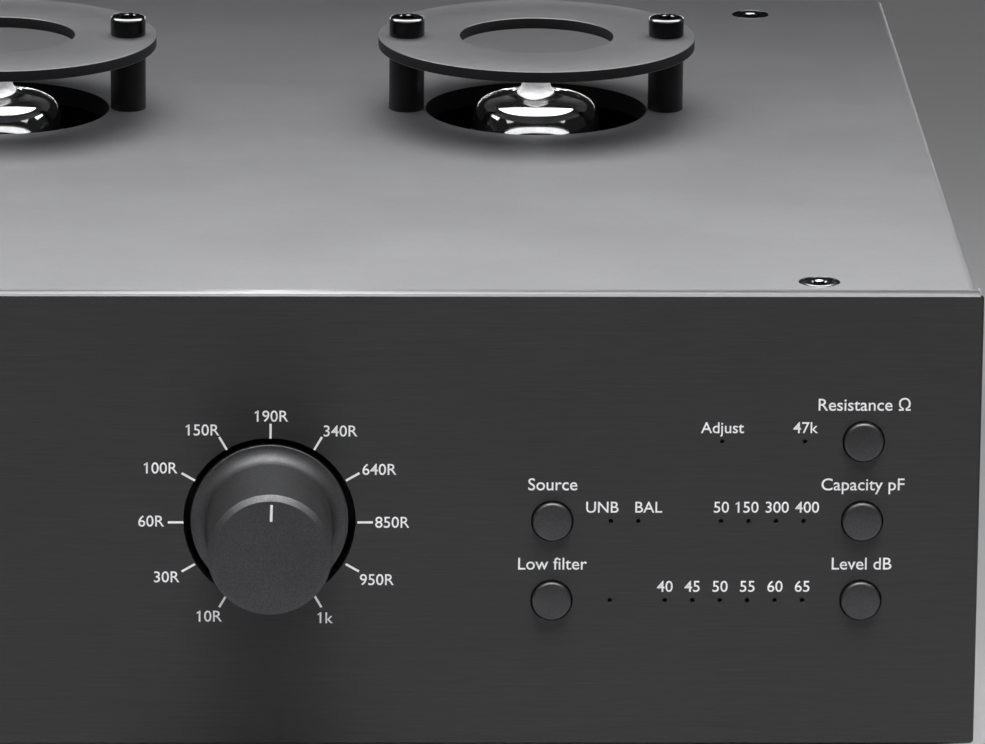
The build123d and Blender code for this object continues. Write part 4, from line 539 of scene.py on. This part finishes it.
def scatter_group():
    """Puts a copy of a part on each point, faced one way and turned by a random share of a turn."""
    inputs = (
        ("Part", "NodeSocketObject"),
        ("Facing", "NodeSocketVector"),
        ("Largest turn", "NodeSocketFloat"),
        ("Seed", "NodeSocketInt"),
        ("Finish", "NodeSocketMaterial"),
    )
    group, start, end = geometry_group("copies_on_points", inputs)
    part = group.nodes.new("GeometryNodeObjectInfo")
    group.links.new(start.outputs["Part"], part.inputs["Object"])
    turn = group.nodes.new("FunctionNodeRandomValue")
    turn.data_type = "FLOAT"
    group.links.new(start.outputs["Largest turn"], turn.inputs[3])
    group.links.new(start.outputs["Seed"], turn.inputs["Seed"])
    spin = group.nodes.new("ShaderNodeCombineXYZ")
    group.links.new(turn.outputs[1], spin.inputs["Z"])
    spin_turn = group.nodes.new("FunctionNodeEulerToRotation")
    group.links.new(spin.outputs["Vector"], spin_turn.inputs["Euler"])
    face = group.nodes.new("FunctionNodeAlignRotationToVector")
    face.axis = "Z"
    group.links.new(start.outputs["Facing"], face.inputs["Vector"])
    both = group.nodes.new("FunctionNodeRotateRotation")
    both.rotation_space = "LOCAL"
    group.links.new(face.outputs["Rotation"], both.inputs["Rotation"])
    group.links.new(spin_turn.outputs["Rotation"], both.inputs["Rotate By"])
    spots = start.outputs["Geometry"]
    put_copies(group, start, end, spots, part.outputs["Geometry"], both.outputs["Rotation"])
    return group


def dial_group():
    """A row of bars fanned about the Y axis: the marks round a dial."""
    inputs = (
        ("Count", "NodeSocketInt"),
        ("First angle", "NodeSocketFloat"),
        ("Step angle", "NodeSocketFloat"),
        ("Middle radius", "NodeSocketFloat"),
        ("Bar", "NodeSocketVector"),
        ("Finish", "NodeSocketMaterial"),
    )
    group, start, end = geometry_group("dial_marks", inputs)
    bar = group.nodes.new("GeometryNodeMeshCube")
    group.links.new(start.outputs["Bar"], bar.inputs["Size"])
    points = group.nodes.new("GeometryNodePoints")
    group.links.new(start.outputs["Count"], points.inputs["Count"])
    index = group.nodes.new("GeometryNodeInputIndex")
    angle = group.nodes.new("ShaderNodeMath")
    angle.operation = "MULTIPLY_ADD"
    group.links.new(index.outputs["Index"], angle.inputs[0])
    group.links.new(start.outputs["Step angle"], angle.inputs[1])
    group.links.new(start.outputs["First angle"], angle.inputs[2])
    about_y = group.nodes.new("ShaderNodeCombineXYZ")
    group.links.new(angle.outputs["Value"], about_y.inputs["Y"])
    outward = group.nodes.new("ShaderNodeCombineXYZ")
    group.links.new(start.outputs["Middle radius"], outward.inputs["Z"])
    swing = group.nodes.new("ShaderNodeVectorRotate")
    swing.rotation_type = "EULER_XYZ"
    group.links.new(outward.outputs["Vector"], swing.inputs["Vector"])
    group.links.new(about_y.outputs["Vector"], swing.inputs["Rotation"])
    spread = group.nodes.new("GeometryNodeSetPosition")
    group.links.new(points.outputs[0], spread.inputs["Geometry"])
    group.links.new(swing.outputs["Vector"], spread.inputs["Position"])
    lean = group.nodes.new("FunctionNodeEulerToRotation")
    group.links.new(about_y.outputs["Vector"], lean.inputs["Euler"])
    spots = spread.outputs["Geometry"]
    put_copies(group, start, end, spots, bar.outputs["Mesh"], lean.outputs["Rotation"])
    return group


SCATTER = scatter_group()
DIAL = dial_group()


def grown(name, group, base_mesh, values, material):
    """Run a geometry tree on a mesh and keep its result as a plain piece."""
    seed = bpy.data.objects.new(name + "_seed", base_mesh)
    bpy.context.scene.collection.objects.link(seed)
    modifier = seed.modifiers.new("tree", "NODES")
    modifier.node_group = group
    for label, value in values.items():
        modifier[socket_in(group, label)] = value
    bpy.context.view_layer.update()
    graph = bpy.context.evaluated_depsgraph_get()
    mesh = bpy.data.meshes.new_from_object(seed.evaluated_get(graph), depsgraph=graph)
    seed.modifiers.remove(modifier)
    bpy.data.objects.remove(seed)
    mesh.name = name
    return new_piece(name, mesh, material)


def copies(name, part_mesh, places, material, largest_turn=0.0, seed=1):
    """One piece made of an upright copy of a turned part at each place."""
    points = bpy.data.meshes.new(name + "_points")
    points.from_pydata([tuple(place) for place in places], [], [])
    part = bpy.data.objects.new(name + "_part", part_mesh)
    bpy.context.scene.collection.objects.link(part)
    values = {
        "Part": part,
        "Facing": Vector(UP),
        "Largest turn": largest_turn,
        "Seed": seed,
        "Finish": material,
    }
    piece = grown(name, SCATTER, points, values, material)
    bpy.data.objects.remove(part)
    return piece


def wear(piece, body, slot, *nodes):
    """The piece rides on a body and stands for CAD nodes; slot is not used."""
    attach(piece, body)
    if nodes:
        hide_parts(*nodes)
    return piece


# ---- knob ----
KNOB_FACE_RADIUS = 8.95
KNOB_WAIST_RADIUS = 9.05
KNOB_EDGE = 0.8             # broken edge of the face, at 45 degrees
KNOB_SIDE_ROUNDING = 0.14   # where the broken edge meets the side
KNOB_FACE_ROUNDING = 0.2    # where it meets the face
SKIRT_EDGE = 0.2
SKIRT_LIP = 0.4             # flat rim round the hollow fillet
KNOB_STEPS = 160
POINTER_WIDTH = 0.38
POINTER_LENGTH = 2.5
POINTER_MARGIN = 1.3
POINTER_TURN = 1.7          # degrees clockwise of straight up
INLAY_PROUD = 0.015
FILLET_STEPS = 20


def block(name, centre, size, material):
    """A plain bar; centre in metres, size in millimetres."""
    shape = bmesh.new()
    bmesh.ops.create_cube(shape, size=1.0)
    bmesh.ops.scale(shape, vec=[length * MM for length in size], verts=shape.verts)
    bmesh.ops.translate(shape, vec=Vector(centre), verts=shape.verts)
    mesh = bpy.data.meshes.new(name)
    shape.to_mesh(mesh)
    shape.free()
    return new_piece(name, mesh, material)


def make_knob():
    """Turned knob: a skirt that lies flush with the panel, a hollow fillet, and the grip."""
    skirt = (KNOB_HIGH.x - KNOB_LOW.x) / 2 / MM
    depth = (KNOB_HIGH.y - FACE) / MM
    front = (FACE - KNOB_LOW.y) / MM
    sweep = skirt - KNOB_WAIST_RADIUS
    outline = rounded([
        (0, -depth, 0),
        (skirt, -depth, SKIRT_EDGE),
        (skirt, 0, SKIRT_EDGE),
        (skirt - SKIRT_LIP, 0, 0),
    ])
    for step in range(1, FILLET_STEPS + 1):
        angle = math.radians(-90 - 90 * step / FILLET_STEPS)
        outline.append((skirt + sweep * math.cos(angle), sweep + sweep * math.sin(angle)))
    grip = rounded([
        (KNOB_WAIST_RADIUS, sweep, 0),
        (KNOB_FACE_RADIUS, front - KNOB_EDGE, KNOB_SIDE_ROUNDING),
        (KNOB_FACE_RADIUS - KNOB_EDGE, front, KNOB_FACE_ROUNDING),
        (0, front, 0),
    ])
    outline += grip[1:]
    place = (0, FACE, ROW_MIDDLE)
    knob = turned("dial_knob", outline, MATERIALS["knob_aluminium"], place, FORWARD, KNOB_STEPS)
    wear(knob, "dial", "knob_aluminium", "knob")
    face_y = KNOB_LOW.y
    high = ROW_MIDDLE + (KNOB_FACE_RADIUS - POINTER_MARGIN) * MM
    pointer = block("dial_pointer", (0, face_y, high - POINTER_LENGTH / 2 * MM),
                    (POINTER_WIDTH, 2 * INLAY_PROUD, POINTER_LENGTH), INK)
    to_axis = Matrix.Translation((0, 0, ROW_MIDDLE))
    lean = Matrix.Rotation(math.radians(POINTER_TURN), 4, "Y")
    pointer.data.transform(to_axis @ lean @ to_axis.inverted())
    wear(pointer, "dial", "")


make_knob()

# ---- push buttons ----
BUTTON_RADIUS = 2.9
BUTTON_EDGE = 0.5
FLANGE_RADIUS = 4.0
FLANGE_THICKNESS = 1.2
FLANGE_GAP = 0.05           # behind the panel
STEM_RADIUS = 1.6
BUTTON_STEPS = 72
PANEL_THICKNESS = (PANEL_HIGH.y - PANEL_LOW.y) / MM


def make_button(node):
    """A cap with a broken edge, its retaining flange and its stem, as one turned piece."""
    low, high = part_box(node)
    proud = (FACE - low.y) / MM
    back = (high.y - FACE) / MM
    flange = PANEL_THICKNESS + FLANGE_GAP
    outline = rounded([
        (0, proud, 0),
        (BUTTON_RADIUS, proud, BUTTON_EDGE),
        (BUTTON_RADIUS, -flange, FINE_EDGE),
        (FLANGE_RADIUS, -flange, BLUNT_EDGE),
        (FLANGE_RADIUS, -flange - FLANGE_THICKNESS, BLUNT_EDGE),
        (STEM_RADIUS, -flange - FLANGE_THICKNESS, FINE_EDGE),
        (STEM_RADIUS, -back, BLUNT_EDGE),
        (0, -back, 0),
    ], steps=4)
    centre = middle(node)
    place = (centre.x, FACE, centre.z)
    name = "cap_" + node.removeprefix("button_")
    cap = turned(name, outline, MATERIALS["button_black"], place, FORWARD, BUTTON_STEPS)
    wear(cap, node, "button_black", node)


for node in BUTTON_NODES:
    make_button(node)

# ---- valve guards ----
GUARD_HOLE_RADIUS = 12.0
RING_EDGE = 0.16
RING_STEPS = 192
EDGE_STEEPNESS = 0.35       # faces that look up or down by more are a ring's top and bottom
CAP_HEAD_RADIUS = 2.75
CAP_HEAD_HEIGHT = 3.0
CAP_HEAD_EDGE = 0.5
POST_EDGE = 0.12
STUD_EDGE = 0.2
GLINT_HEIGHT = 2.4           # edges above this on a cap head get a painted highlight
GLINT_DEPTH = 0.5            # and on a flush head, edges less deep than this
GLINT_FROM = 0.3             # how far a face with a painted highlight looks up, at least
CAP_TOP = 0.93              # a cap head's flat top looks up by more
FLUSH_TOP = 0.985
M3_RADIUS = 1.5
CAP_KEY = 1.25              # half across the socket's flats
CAP_KEY_DEPTH = 1.6
FLAT_KEY = 1.0
FLAT_KEY_DEPTH = 1.0
FLAT_HEAD_RADIUS = 3.0
KEY_POINT = 0.3             # drill's point under the socket
SCREW_STEPS = 48
SIXTH_TURN = math.pi / 3    # a hexagon socket looks the same again
POST_STEPS = 64


def make_guard_ring(side):
    """A flat ring with narrow broken edges and its rims in painted shade."""
    low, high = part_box(f"guard_ring_{side}")
    centre = (low + high) / 2
    outer = (high.x - low.x) / 2 / MM
    thick = (high.z - low.z) / MM
    outline = rounded([
        (GUARD_HOLE_RADIUS + 1, 0, 0),
        (outer, 0, RING_EDGE),
        (outer, thick, RING_EDGE),
        (GUARD_HOLE_RADIUS, thick, RING_EDGE),
        (GUARD_HOLE_RADIUS, 0, RING_EDGE),
        (GUARD_HOLE_RADIUS + 1, 0, 0),
    ], steps=3)[:-1]
    place = (centre.x, centre.y, low.z)
    ring = turned(f"guard_{side}", outline, MATERIALS["guard_black"], place, UP, RING_STEPS, loop=True)
    ring.data.materials.append(GUARD_RIM_SHADE)
    # rims take the painted shade, tops the anodised finish
    for face in ring.data.polygons:
        face.material_index = 1 if abs(face.normal.z) < EDGE_STEEPNESS else 0
    wear(ring, "case", "guard_black", f"guard_ring_{side}")


for side in SIDES:
    make_guard_ring(side)


def socket_screw(name, head, height, edge, key, key_depth, shank, length):
    """A cap screw whose head stands on the origin, with a hexagon socket."""
    outline = rounded([
        (0, -length, 0),
        (shank - 0.25, -length, FINE_EDGE),  # broken end of the thread
        (shank, -length + 0.3, FINE_EDGE),
        (shank, 0, 0),
        (head - 0.1, 0, FINE_EDGE),  # broken edge under the head
        (head, 0.15, FINE_EDGE),
        (head, height, edge),
        (key + 0.35, height, 0),
    ])
    outline += [
        (key + 0.12, height - 0.02),  # bevel into the socket
        (key, height - 0.12, 6),
        (key, height - key_depth, 6),
        (0, height - key_depth - KEY_POINT),
    ]
    return turned_mesh(name, outline, SCREW_STEPS)


def flush_screw(name, head, key, key_depth, shank, length):
    """A countersunk screw with its rim level with the origin, a bevel inside it and a hexagon socket."""
    cone = head - shank
    outline = rounded([
        (0, -length, 0),
        (shank - 0.3, -length, FINE_EDGE),  # broken end of the thread
        (shank, -length + 0.3, FINE_EDGE),
        (shank, -cone - 0.2, 0),
        (head, -0.2, FINE_EDGE),  # rim
        (head, 0, FINE_EDGE),
        (head - 0.35, 0, 0.03),
        (head - 0.4, -0.2, 0),  # bevel inside the rim
        (head - 1.0, -0.05, FINE_EDGE),
        (key + 0.24, -0.05, 0),
    ])
    outline += [
        (key + 0.1, -0.19),  # bevel into the socket
        (key, -0.26, 6),
        (key, -key_depth, 6),
        (0, -key_depth - KEY_POINT),
    ]
    return turned_mesh(name, outline, SCREW_STEPS)


def guard_posts(height):
    """The four places of the guards' standoffs, at a height in metres."""
    low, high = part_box("guard_screws")
    inset = CAP_HEAD_RADIUS * MM
    rows = []
    for side in SIDES:
        ring = middle(f"guard_ring_{side}")
        spread = min(abs(ring.x - low.x - inset), abs(high.x - inset - ring.x))
        rows += [(ring.x - spread, ring.y, height), (ring.x + spread, ring.y, height)]
    return rows


def paint_glints(screws, lowest, flat):
    """Paints a highlight on the edges above a height that look up, but by less than the flat top."""
    screws.data.materials.append(PAINTED_GLINT)
    for face in screws.data.polygons:
        if face.center.z > lowest and GLINT_FROM < face.normal.z < flat:
            face.material_index = 1


def make_guard_fasteners():
    """Standoffs under the rings and cap screws on top of them."""
    ring_low, ring_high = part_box("guard_ring_left")
    gap = (ring_low.z - COVER_HIGH.z) / MM
    stud = (COVER_HIGH.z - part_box("guard_standoffs")[0].z) / MM
    post = rounded([
        (0, -stud, 0),
        (M3_RADIUS, -stud, STUD_EDGE),
        (M3_RADIUS, 0, 0),
        (CAP_HEAD_RADIUS, 0, POST_EDGE),
        (CAP_HEAD_RADIUS, gap, POST_EDGE),
        (0, gap, 0),
    ], steps=3)
    post_mesh = turned_mesh("guard_post", post, POST_STEPS)
    posts = copies("guard_posts", post_mesh, guard_posts(COVER_HIGH.z), MATERIALS["standoff_black"])
    wear(posts, "case", "standoff_black", "guard_standoffs")
    length = (ring_high.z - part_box("guard_screws")[0].z) / MM
    screw = socket_screw("guard_screw", CAP_HEAD_RADIUS, CAP_HEAD_HEIGHT, CAP_HEAD_EDGE, CAP_KEY,
                         CAP_KEY_DEPTH, M3_RADIUS, length)
    screws = copies("guard_cap_screws", screw, guard_posts(ring_high.z), MATERIALS["black_oxide"],
                    largest_turn=SIXTH_TURN, seed=4)
    paint_glints(screws, ring_high.z + GLINT_HEIGHT * MM, CAP_TOP)
    wear(screws, "case", "black_oxide", "guard_screws")


make_guard_fasteners()


def make_cover_screws():
    """Four flush screws in the corners of the cover."""
    low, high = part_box("cover_screws")
    inset = FLAT_HEAD_RADIUS * MM
    across = (low.x + inset, high.x - inset)
    along = (low.y + inset, high.y - inset)
    places = [(x, y, high.z) for x in across for y in along]
    screw = flush_screw("cover_screw", FLAT_HEAD_RADIUS, FLAT_KEY, FLAT_KEY_DEPTH, M3_RADIUS,
                        (high.z - low.z) / MM)
    screws = copies("cover_flush_screws", screw, places, MATERIALS["black_oxide"],
                    largest_turn=SIXTH_TURN, seed=7)
    paint_glints(screws, high.z - GLINT_DEPTH * MM, FLUSH_TOP)
    wear(screws, "case", "black_oxide", "cover_screws")


make_cover_screws()

# ---- valves ----
VALVE_RADIUS = 11.0
GLASS_WALL = 0.14
GLASS_BASE = 2.0
GLASS_FOOT = 2.0
DOME_DROP = 15.6
DOME_OUTLINE = (            # radius, down from the tip
    (10.45, 12.0), (10.0, 10.1), (9.45, 8.5), (8.75, 7.45), (7.4, 6.75),
    (5.6, 6.35), (3.6, 5.9), (2.4, 5.0), (1.9, 3.0),
)
DOME_STEPS = 12             # steps from point to point of the dome
BULB_STEPS = 240
HOLLOW_DOME_STEPS = 4
HOLLOW_STEPS = 96
ROOF_RADIUS = 3.1           # flat middle of the hollow's roof
ROOF_DROP = 0.1
FILM_ROWS = 6               # points of the outline, from the lowest, that the film follows
FILM_GAP = 0.06             # between glass and film
FILM_THICKNESS = 0.05
FILM_DEPTH = 13.5           # tip down to the film's lower edge
TIP_HIGHLIGHT_DEPTH = 5.5           # tip down to the lower end of the painted highlight
TIP_HIGHLIGHT_SLOPE = -0.02         # it reaches a little further down on the left
TIP_HIGHLIGHT_LEAN = 0.14           # and further down in front


def smooth_curve(points, steps):
    """A Catmull-Rom curve through points of (radius, height), level at its last point."""
    path = [Vector(points[0]) * 2 - Vector(points[1])] + [Vector(p) for p in points]
    path.append(Vector((-points[-2][0], points[-2][1])))
    curve = []
    for k in range(1, len(path) - 2):
        a, b, c, d = path[k - 1], path[k], path[k + 1], path[k + 2]
        for step in range(steps):
            t = step / steps
            curve.append(tuple(0.5 * (2 * b + (c - a) * t + (2 * a - 5 * b + 4 * c - d) * t * t
                                      + (3 * b - a - 3 * c + d) * t ** 3)))
    curve.append(tuple(path[-2]))
    return curve


def make_valve(side):
    """Glass envelope with its drawn-off tip in pale glass as a painted highlight, and the mirror film in
    its dome.
    """
    low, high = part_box(f"valve_glass_{side}")
    tip = ((low.x + high.x) / 2, (low.y + high.y) / 2, high.z)
    length = (high.z - low.z) / MM
    dome_points = [(VALVE_RADIUS, -DOME_DROP)] + [(r, -drop) for r, drop in DOME_OUTLINE] + [(0, 0)]
    dome = smooth_curve(dome_points, DOME_STEPS)
    outer = rounded([(0, -length, 0), (VALVE_RADIUS, -length, GLASS_FOOT), (VALVE_RADIUS, -DOME_DROP, 0)])
    inner_radius = VALVE_RADIUS - GLASS_WALL
    roof = -DOME_OUTLINE[FILM_ROWS][1] - GLASS_WALL
    hollow = [(0, GLASS_BASE - length), (inner_radius, GLASS_BASE - length)]
    hollow_points = [(inner_radius, -DOME_DROP)]
    hollow_points += [(r - GLASS_WALL, -drop - GLASS_WALL) for r, drop in DOME_OUTLINE[:FILM_ROWS]]
    hollow_points += [(ROOF_RADIUS, roof - ROOF_DROP), (0, roof)]
    hollow_dome = smooth_curve(hollow_points, HOLLOW_DOME_STEPS)
    bulb = turned(f"valve_bulb_{side}", outer[:-1] + dome, MATERIALS["valve_glass"], tip, UP, BULB_STEPS)
    inside = turned_mesh("hollow", hollow + hollow_dome, HOLLOW_STEPS)
    inside.flip_normals()
    inside.transform(facing_matrix(tip, UP))
    shape = bmesh.new()
    shape.from_mesh(bulb.data)
    shape.from_mesh(inside)
    shape.to_mesh(bulb.data)
    shape.free()
    bpy.data.meshes.remove(inside)
    # painted highlight: faces near the tip take the pale glass
    bulb.data.materials.append(PAINTED_TIP_HIGHLIGHT)
    for face in bulb.data.polygons:
        height = face.center.z - tip[2] + TIP_HIGHLIGHT_SLOPE * (face.center.x - tip[0])
        height += TIP_HIGHLIGHT_LEAN * (tip[1] - face.center.y)
        face.material_index = 1 if height > -TIP_HIGHLIGHT_DEPTH * MM else 0
    wear(bulb, "case", "valve_glass", f"valve_glass_{side}")
    under_roof = [(r, z) for r, z in hollow_dome if z > -FILM_DEPTH and r > ROOF_RADIUS]
    film = [(r - FILM_GAP, z - FILM_GAP) for r, z in under_roof]
    inner_film = [(r - FILM_THICKNESS, z - FILM_THICKNESS) for r, z in reversed(film)]
    mirror = getter_flash(side, tip[0], tip[1] - BRIGHT_FILM_SHIFT * MM)
    flash = turned(f"getter_film_{side}", film + inner_film, mirror, tip, UP, HOLLOW_STEPS, loop=True)
    wear(flash, "case", "")


for side in SIDES:
    make_valve(side)

# ---- printing on the panel ----
PRINT_PROUD = 0.02
MARK_INNER = 12.6
MARK_OUTER = 14.85
MARK_WIDTH = 0.33
MARK_SHIFT = (0.13, -0.2)   # the printing sits a little off the knob's axis
MARK_COUNT = 11
MARK_STEP = 30.0
DIAL_TEXT = 1.62            # height of a capital
SCALE_TEXT = 1.62
TITLE_TEXT = 1.76
TITLE_RISE = 5.55           # button's centre up to the title's middle
SCALE_RISE = 2.1            # lamp's centre up to the scale's middle
DIAL_LABELS = (             # words, degrees clockwise of straight up, distance from the axis
    ("10R", -148.5, 16.9), ("30R", -119.4, 17.2), ("60R", -90.0, 17.2), ("100R", -63.2, 17.75),
    ("150R", -35.5, 16.85), ("190R", 0.6, 15.8), ("340R", 36.8, 16.95), ("640R", 63.8, 17.65),
    ("850R", 90.6, 17.75), ("950R", 119.7, 17.9), ("1k", 151.4, 16.7),
)
ROW_PITCH = 12.0
TEXT_EDGE = 0.005           # thickens the strokes a little
CAPITAL_SHARE = 0.682       # a capital's height as a share of the font's size
STAND_UP = Matrix.Rotation(math.radians(90), 4, "X")
# corners of the flag on a figure one: right of the bar's edge, down from its top
FLAG = ((0.06, 0.0), (-0.125, 0.10), (-0.125, 0.19), (0.06, 0.10))
TITLES = (                  # words, column, row up from the knob's
    ("Resistance Ω", "select", 1), ("Capacity pF", "select", 0), ("Level dB", "select", -1),
    ("Source", "choice", 0), ("Low filter", "choice", -1),
)
SCALES = (                  # words, X, row
    ("Adjust", 65.5, 1), ("47k", 77.5, 1),
    ("UNB", 48.2, 0), ("BAL", 54.9, 0),
    ("50", 65.5, 0), ("150", 69.2, 0), ("300", 73.6, 0), ("400", 78.0, 0),
    ("40", 57.5, -1), ("45", 61.5, -1), ("50", 65.5, -1),
    ("55", 69.5, -1), ("60", 73.5, -1), ("65", 77.5, -1),
)


def add_flag(mesh):
    """Gives a leading figure one its flag."""
    left = min(v.co.x for v in mesh.vertices)
    shape = bmesh.new()
    shape.from_mesh(mesh)
    for z in (-1.0, 1.0):
        corners = [(left + x, CAPITAL_SHARE - y, z) for x, y in FLAG]
        shape.faces.new([shape.verts.new(corner) for corner in corners])
    shape.to_mesh(mesh)
    shape.free()


def letters_mesh(words, height):
    """Words as a thin flat mesh, centred on the origin in X and Y; height of a capital in millimetres."""
    text = bpy.data.curves.new("text", "FONT")
    text.body = words
    text.align_x = "CENTER"
    text.size = 1.0
    text.offset = TEXT_EDGE
    text.extrude = 1.0
    text.resolution_u = 4
    holder = bpy.data.objects.new("text", text)
    bpy.context.scene.collection.objects.link(holder)
    bpy.context.view_layer.update()
    graph = bpy.context.evaluated_depsgraph_get()
    mesh = bpy.data.meshes.new_from_object(holder.evaluated_get(graph), depsgraph=graph)
    bpy.data.objects.remove(holder)
    bpy.data.curves.remove(text)
    if words.startswith("1"):
        add_flag(mesh)
    scale = height * MM / CAPITAL_SHARE
    thin = PRINT_PROUD * MM
    mesh.transform(Matrix.Translation((0, -CAPITAL_SHARE / 2, 0)))
    mesh.transform(Matrix.Diagonal((scale, scale, thin, 1)))
    return mesh


def joined(name, meshes, material):
    """Several meshes as one piece."""
    shape = bmesh.new()
    for mesh in meshes:
        shape.from_mesh(mesh)
        bpy.data.meshes.remove(mesh)
    bmesh.ops.remove_doubles(shape, verts=shape.verts, dist=1e-7)
    mesh = bpy.data.meshes.new(name)
    shape.to_mesh(mesh)
    shape.free()
    return new_piece(name, mesh, material)


def printed(words, height, x, z):
    """Words printed on the panel's face, centred at x, z in metres."""
    mesh = letters_mesh(words, height)
    mesh.transform(Matrix.Translation((x, FACE, z)) @ STAND_UP)
    return mesh


def make_printing():
    """Numbers round the dial, the scales above the lamps and the titles above the buttons."""
    dial = []
    for words, angle, radius in DIAL_LABELS:
        turn = math.radians(angle)
        x = radius * math.sin(turn) * MM
        z = ROW_MIDDLE + radius * math.cos(turn) * MM
        dial.append(printed(words, DIAL_TEXT, x, z))
    wear(joined("dial_numbers", dial, INK), "case", "")
    rest = []
    for words, x, row in SCALES:
        z = ROW_MIDDLE + (row * ROW_PITCH + SCALE_RISE) * MM
        rest.append(printed(words, SCALE_TEXT, x * MM, z))
    for words, column, row in TITLES:
        x = SELECT_X if column == "select" else CHOICE_X
        z = ROW_MIDDLE + (row * ROW_PITCH + TITLE_RISE) * MM
        rest.append(printed(words, TITLE_TEXT, x, z))
    wear(joined("panel_legends", rest, INK), "case", "")
    values = {
        "Count": MARK_COUNT,
        "First angle": math.radians(-MARK_STEP * (MARK_COUNT - 1) / 2),
        "Step angle": math.radians(MARK_STEP),
        "Middle radius": (MARK_INNER + MARK_OUTER) / 2 * MM,
        "Bar": Vector((MARK_WIDTH, 2 * PRINT_PROUD, MARK_OUTER - MARK_INNER)) * MM,
        "Finish": INK,
    }
    marks = grown("dial_marks", DIAL, bpy.data.meshes.new("dial_seed"), values, INK)
    ring_middle = (MARK_SHIFT[0] * MM, FACE, ROW_MIDDLE + MARK_SHIFT[1] * MM)
    marks.data.transform(Matrix.Translation(ring_middle))
    wear(marks, "case", "")


make_printing()

# ---- floor, lamps, world ----
FLOOR_SIZE = 12.0           # metres
SURROUND = 0.015            # strength of the even light all round


def make_floor():
    """A plain pale floor."""
    mesh = bpy.data.meshes.new("floor")
    half = FLOOR_SIZE / 2
    corners = [(-half, -half, 0), (half, -half, 0), (half, half, 0), (-half, half, 0)]
    mesh.from_pydata(corners, [], [(0, 1, 2, 3)])
    pale = finish("pale_floor", (0.38, 0.38, 0.39), 0.0, 0.75, 8.0, 0.0, drift=0.01)
    floor = new_piece("floor", mesh, pale)


def lamp(name, place, aim, width, depth, power, spread):
    """A rectangular soft lamp; places in metres, power in watts."""
    data = bpy.data.lights.new(name, "AREA")
    data.shape = "RECTANGLE"
    data.size = width
    data.size_y = depth
    data.energy = power
    data.spread = math.radians(spread)
    holder = bpy.data.objects.new(name, data)
    bpy.context.scene.collection.objects.link(holder)
    holder.visible_camera = False
    direction = Vector(aim) - Vector(place)
    turn = direction.to_track_quat("-Z", "Y").to_matrix().to_4x4()
    holder.matrix_world = Matrix.Translation(Vector(place)) @ turn


def make_world():
    """An even, faint surround."""
    world = bpy.data.worlds.new("surround")
    world.use_nodes = True
    back = world.node_tree.nodes["Background"]
    back.inputs["Color"].default_value = (1, 1, 1, 1)
    back.inputs["Strength"].default_value = SURROUND
    bpy.context.scene.world = world


make_floor()
make_world()
LAMPS = (
    # name, place, aim, width, depth, radiance, spread; metres and degrees
    ("over_guards", (0.0, 0.060, 0.192), (0.0, 0.060, 0.0), 0.50, 0.10, 3.8, 180),
    ("over_lid", (0.0, -0.003, 0.192), (0.0, -0.003, 0.0), 0.50, 0.024, 2.8, 180),
    ("over_knob", (0.0, -0.145, 0.26), (0.0, -0.145, 0.0), 0.60, 0.12, 3.1, 75),
    ("soft_top", (0.0, -0.40, 0.76), (0.0, 0.01, 0.072), 2.00, 0.46, 0.95, 180),
    ("high_rear", (0.0, 0.35, 1.80), (0.0, 0.0, 0.0), 2.00, 1.00, 0.4, 180),
    ("front", (-0.05, -0.50, 0.285), (-0.05, 0.0, 0.06), 2.20, 0.07, 1.4, 180),
    ("low_left", (-1.30, 0.45, 0.036), (0.0, 0.15, 0.036), 1.40, 0.06, 3.0, 180),
    ("low_right", (1.30, 0.45, 0.036), (0.0, 0.15, 0.036), 1.40, 0.06, 3.0, 180),
    ("low_rear", (0.0, 1.30, 0.036), (0.0, 0.10, 0.036), 1.40, 0.06, 10.0, 180),
)
for name, place, aim, width, depth, radiance, spread in LAMPS:
    lamp(name, place, aim, width, depth, radiance * math.pi * width * depth, spread)

# ---- camera ----
CAMERA_PLACE = (-4.4552, -1259.8764, 384.0333)
CAMERA_PITCH = -15.4926
CAMERA_YAW = 1.7957
CAMERA_ROLL = 0.5147
SENSOR_WIDTH = 36.0
FOCAL_LENGTH = 306.85


def make_camera():
    """Long lens in front, a little above and left of the middle, so the left end is out of view."""
    pitch, yaw, roll = (math.radians(a) for a in (CAMERA_PITCH, CAMERA_YAW, CAMERA_ROLL))
    ahead = Vector((math.sin(yaw) * math.cos(pitch), math.cos(yaw) * math.cos(pitch), math.sin(pitch)))
    level_right = Vector((math.cos(yaw), -math.sin(yaw), 0))
    level_up = level_right.cross(ahead)
    right = level_right * math.cos(roll) + level_up * math.sin(roll)
    up = level_up * math.cos(roll) - level_right * math.sin(roll)
    data = bpy.data.cameras.new("camera")
    data.sensor_width = SENSOR_WIDTH
    data.lens = FOCAL_LENGTH
    data.clip_start = 0.05
    data.clip_end = 50
    camera = bpy.data.objects.new("camera", data)
    bpy.context.scene.collection.objects.link(camera)
    turn = Matrix((right, up, -ahead)).transposed().to_4x4()
    camera.matrix_world = Matrix.Translation(Vector(CAMERA_PLACE) * MM) @ turn
    bpy.context.scene.camera = camera


make_camera()
bpy.context.scene.view_settings.view_transform = "Standard"
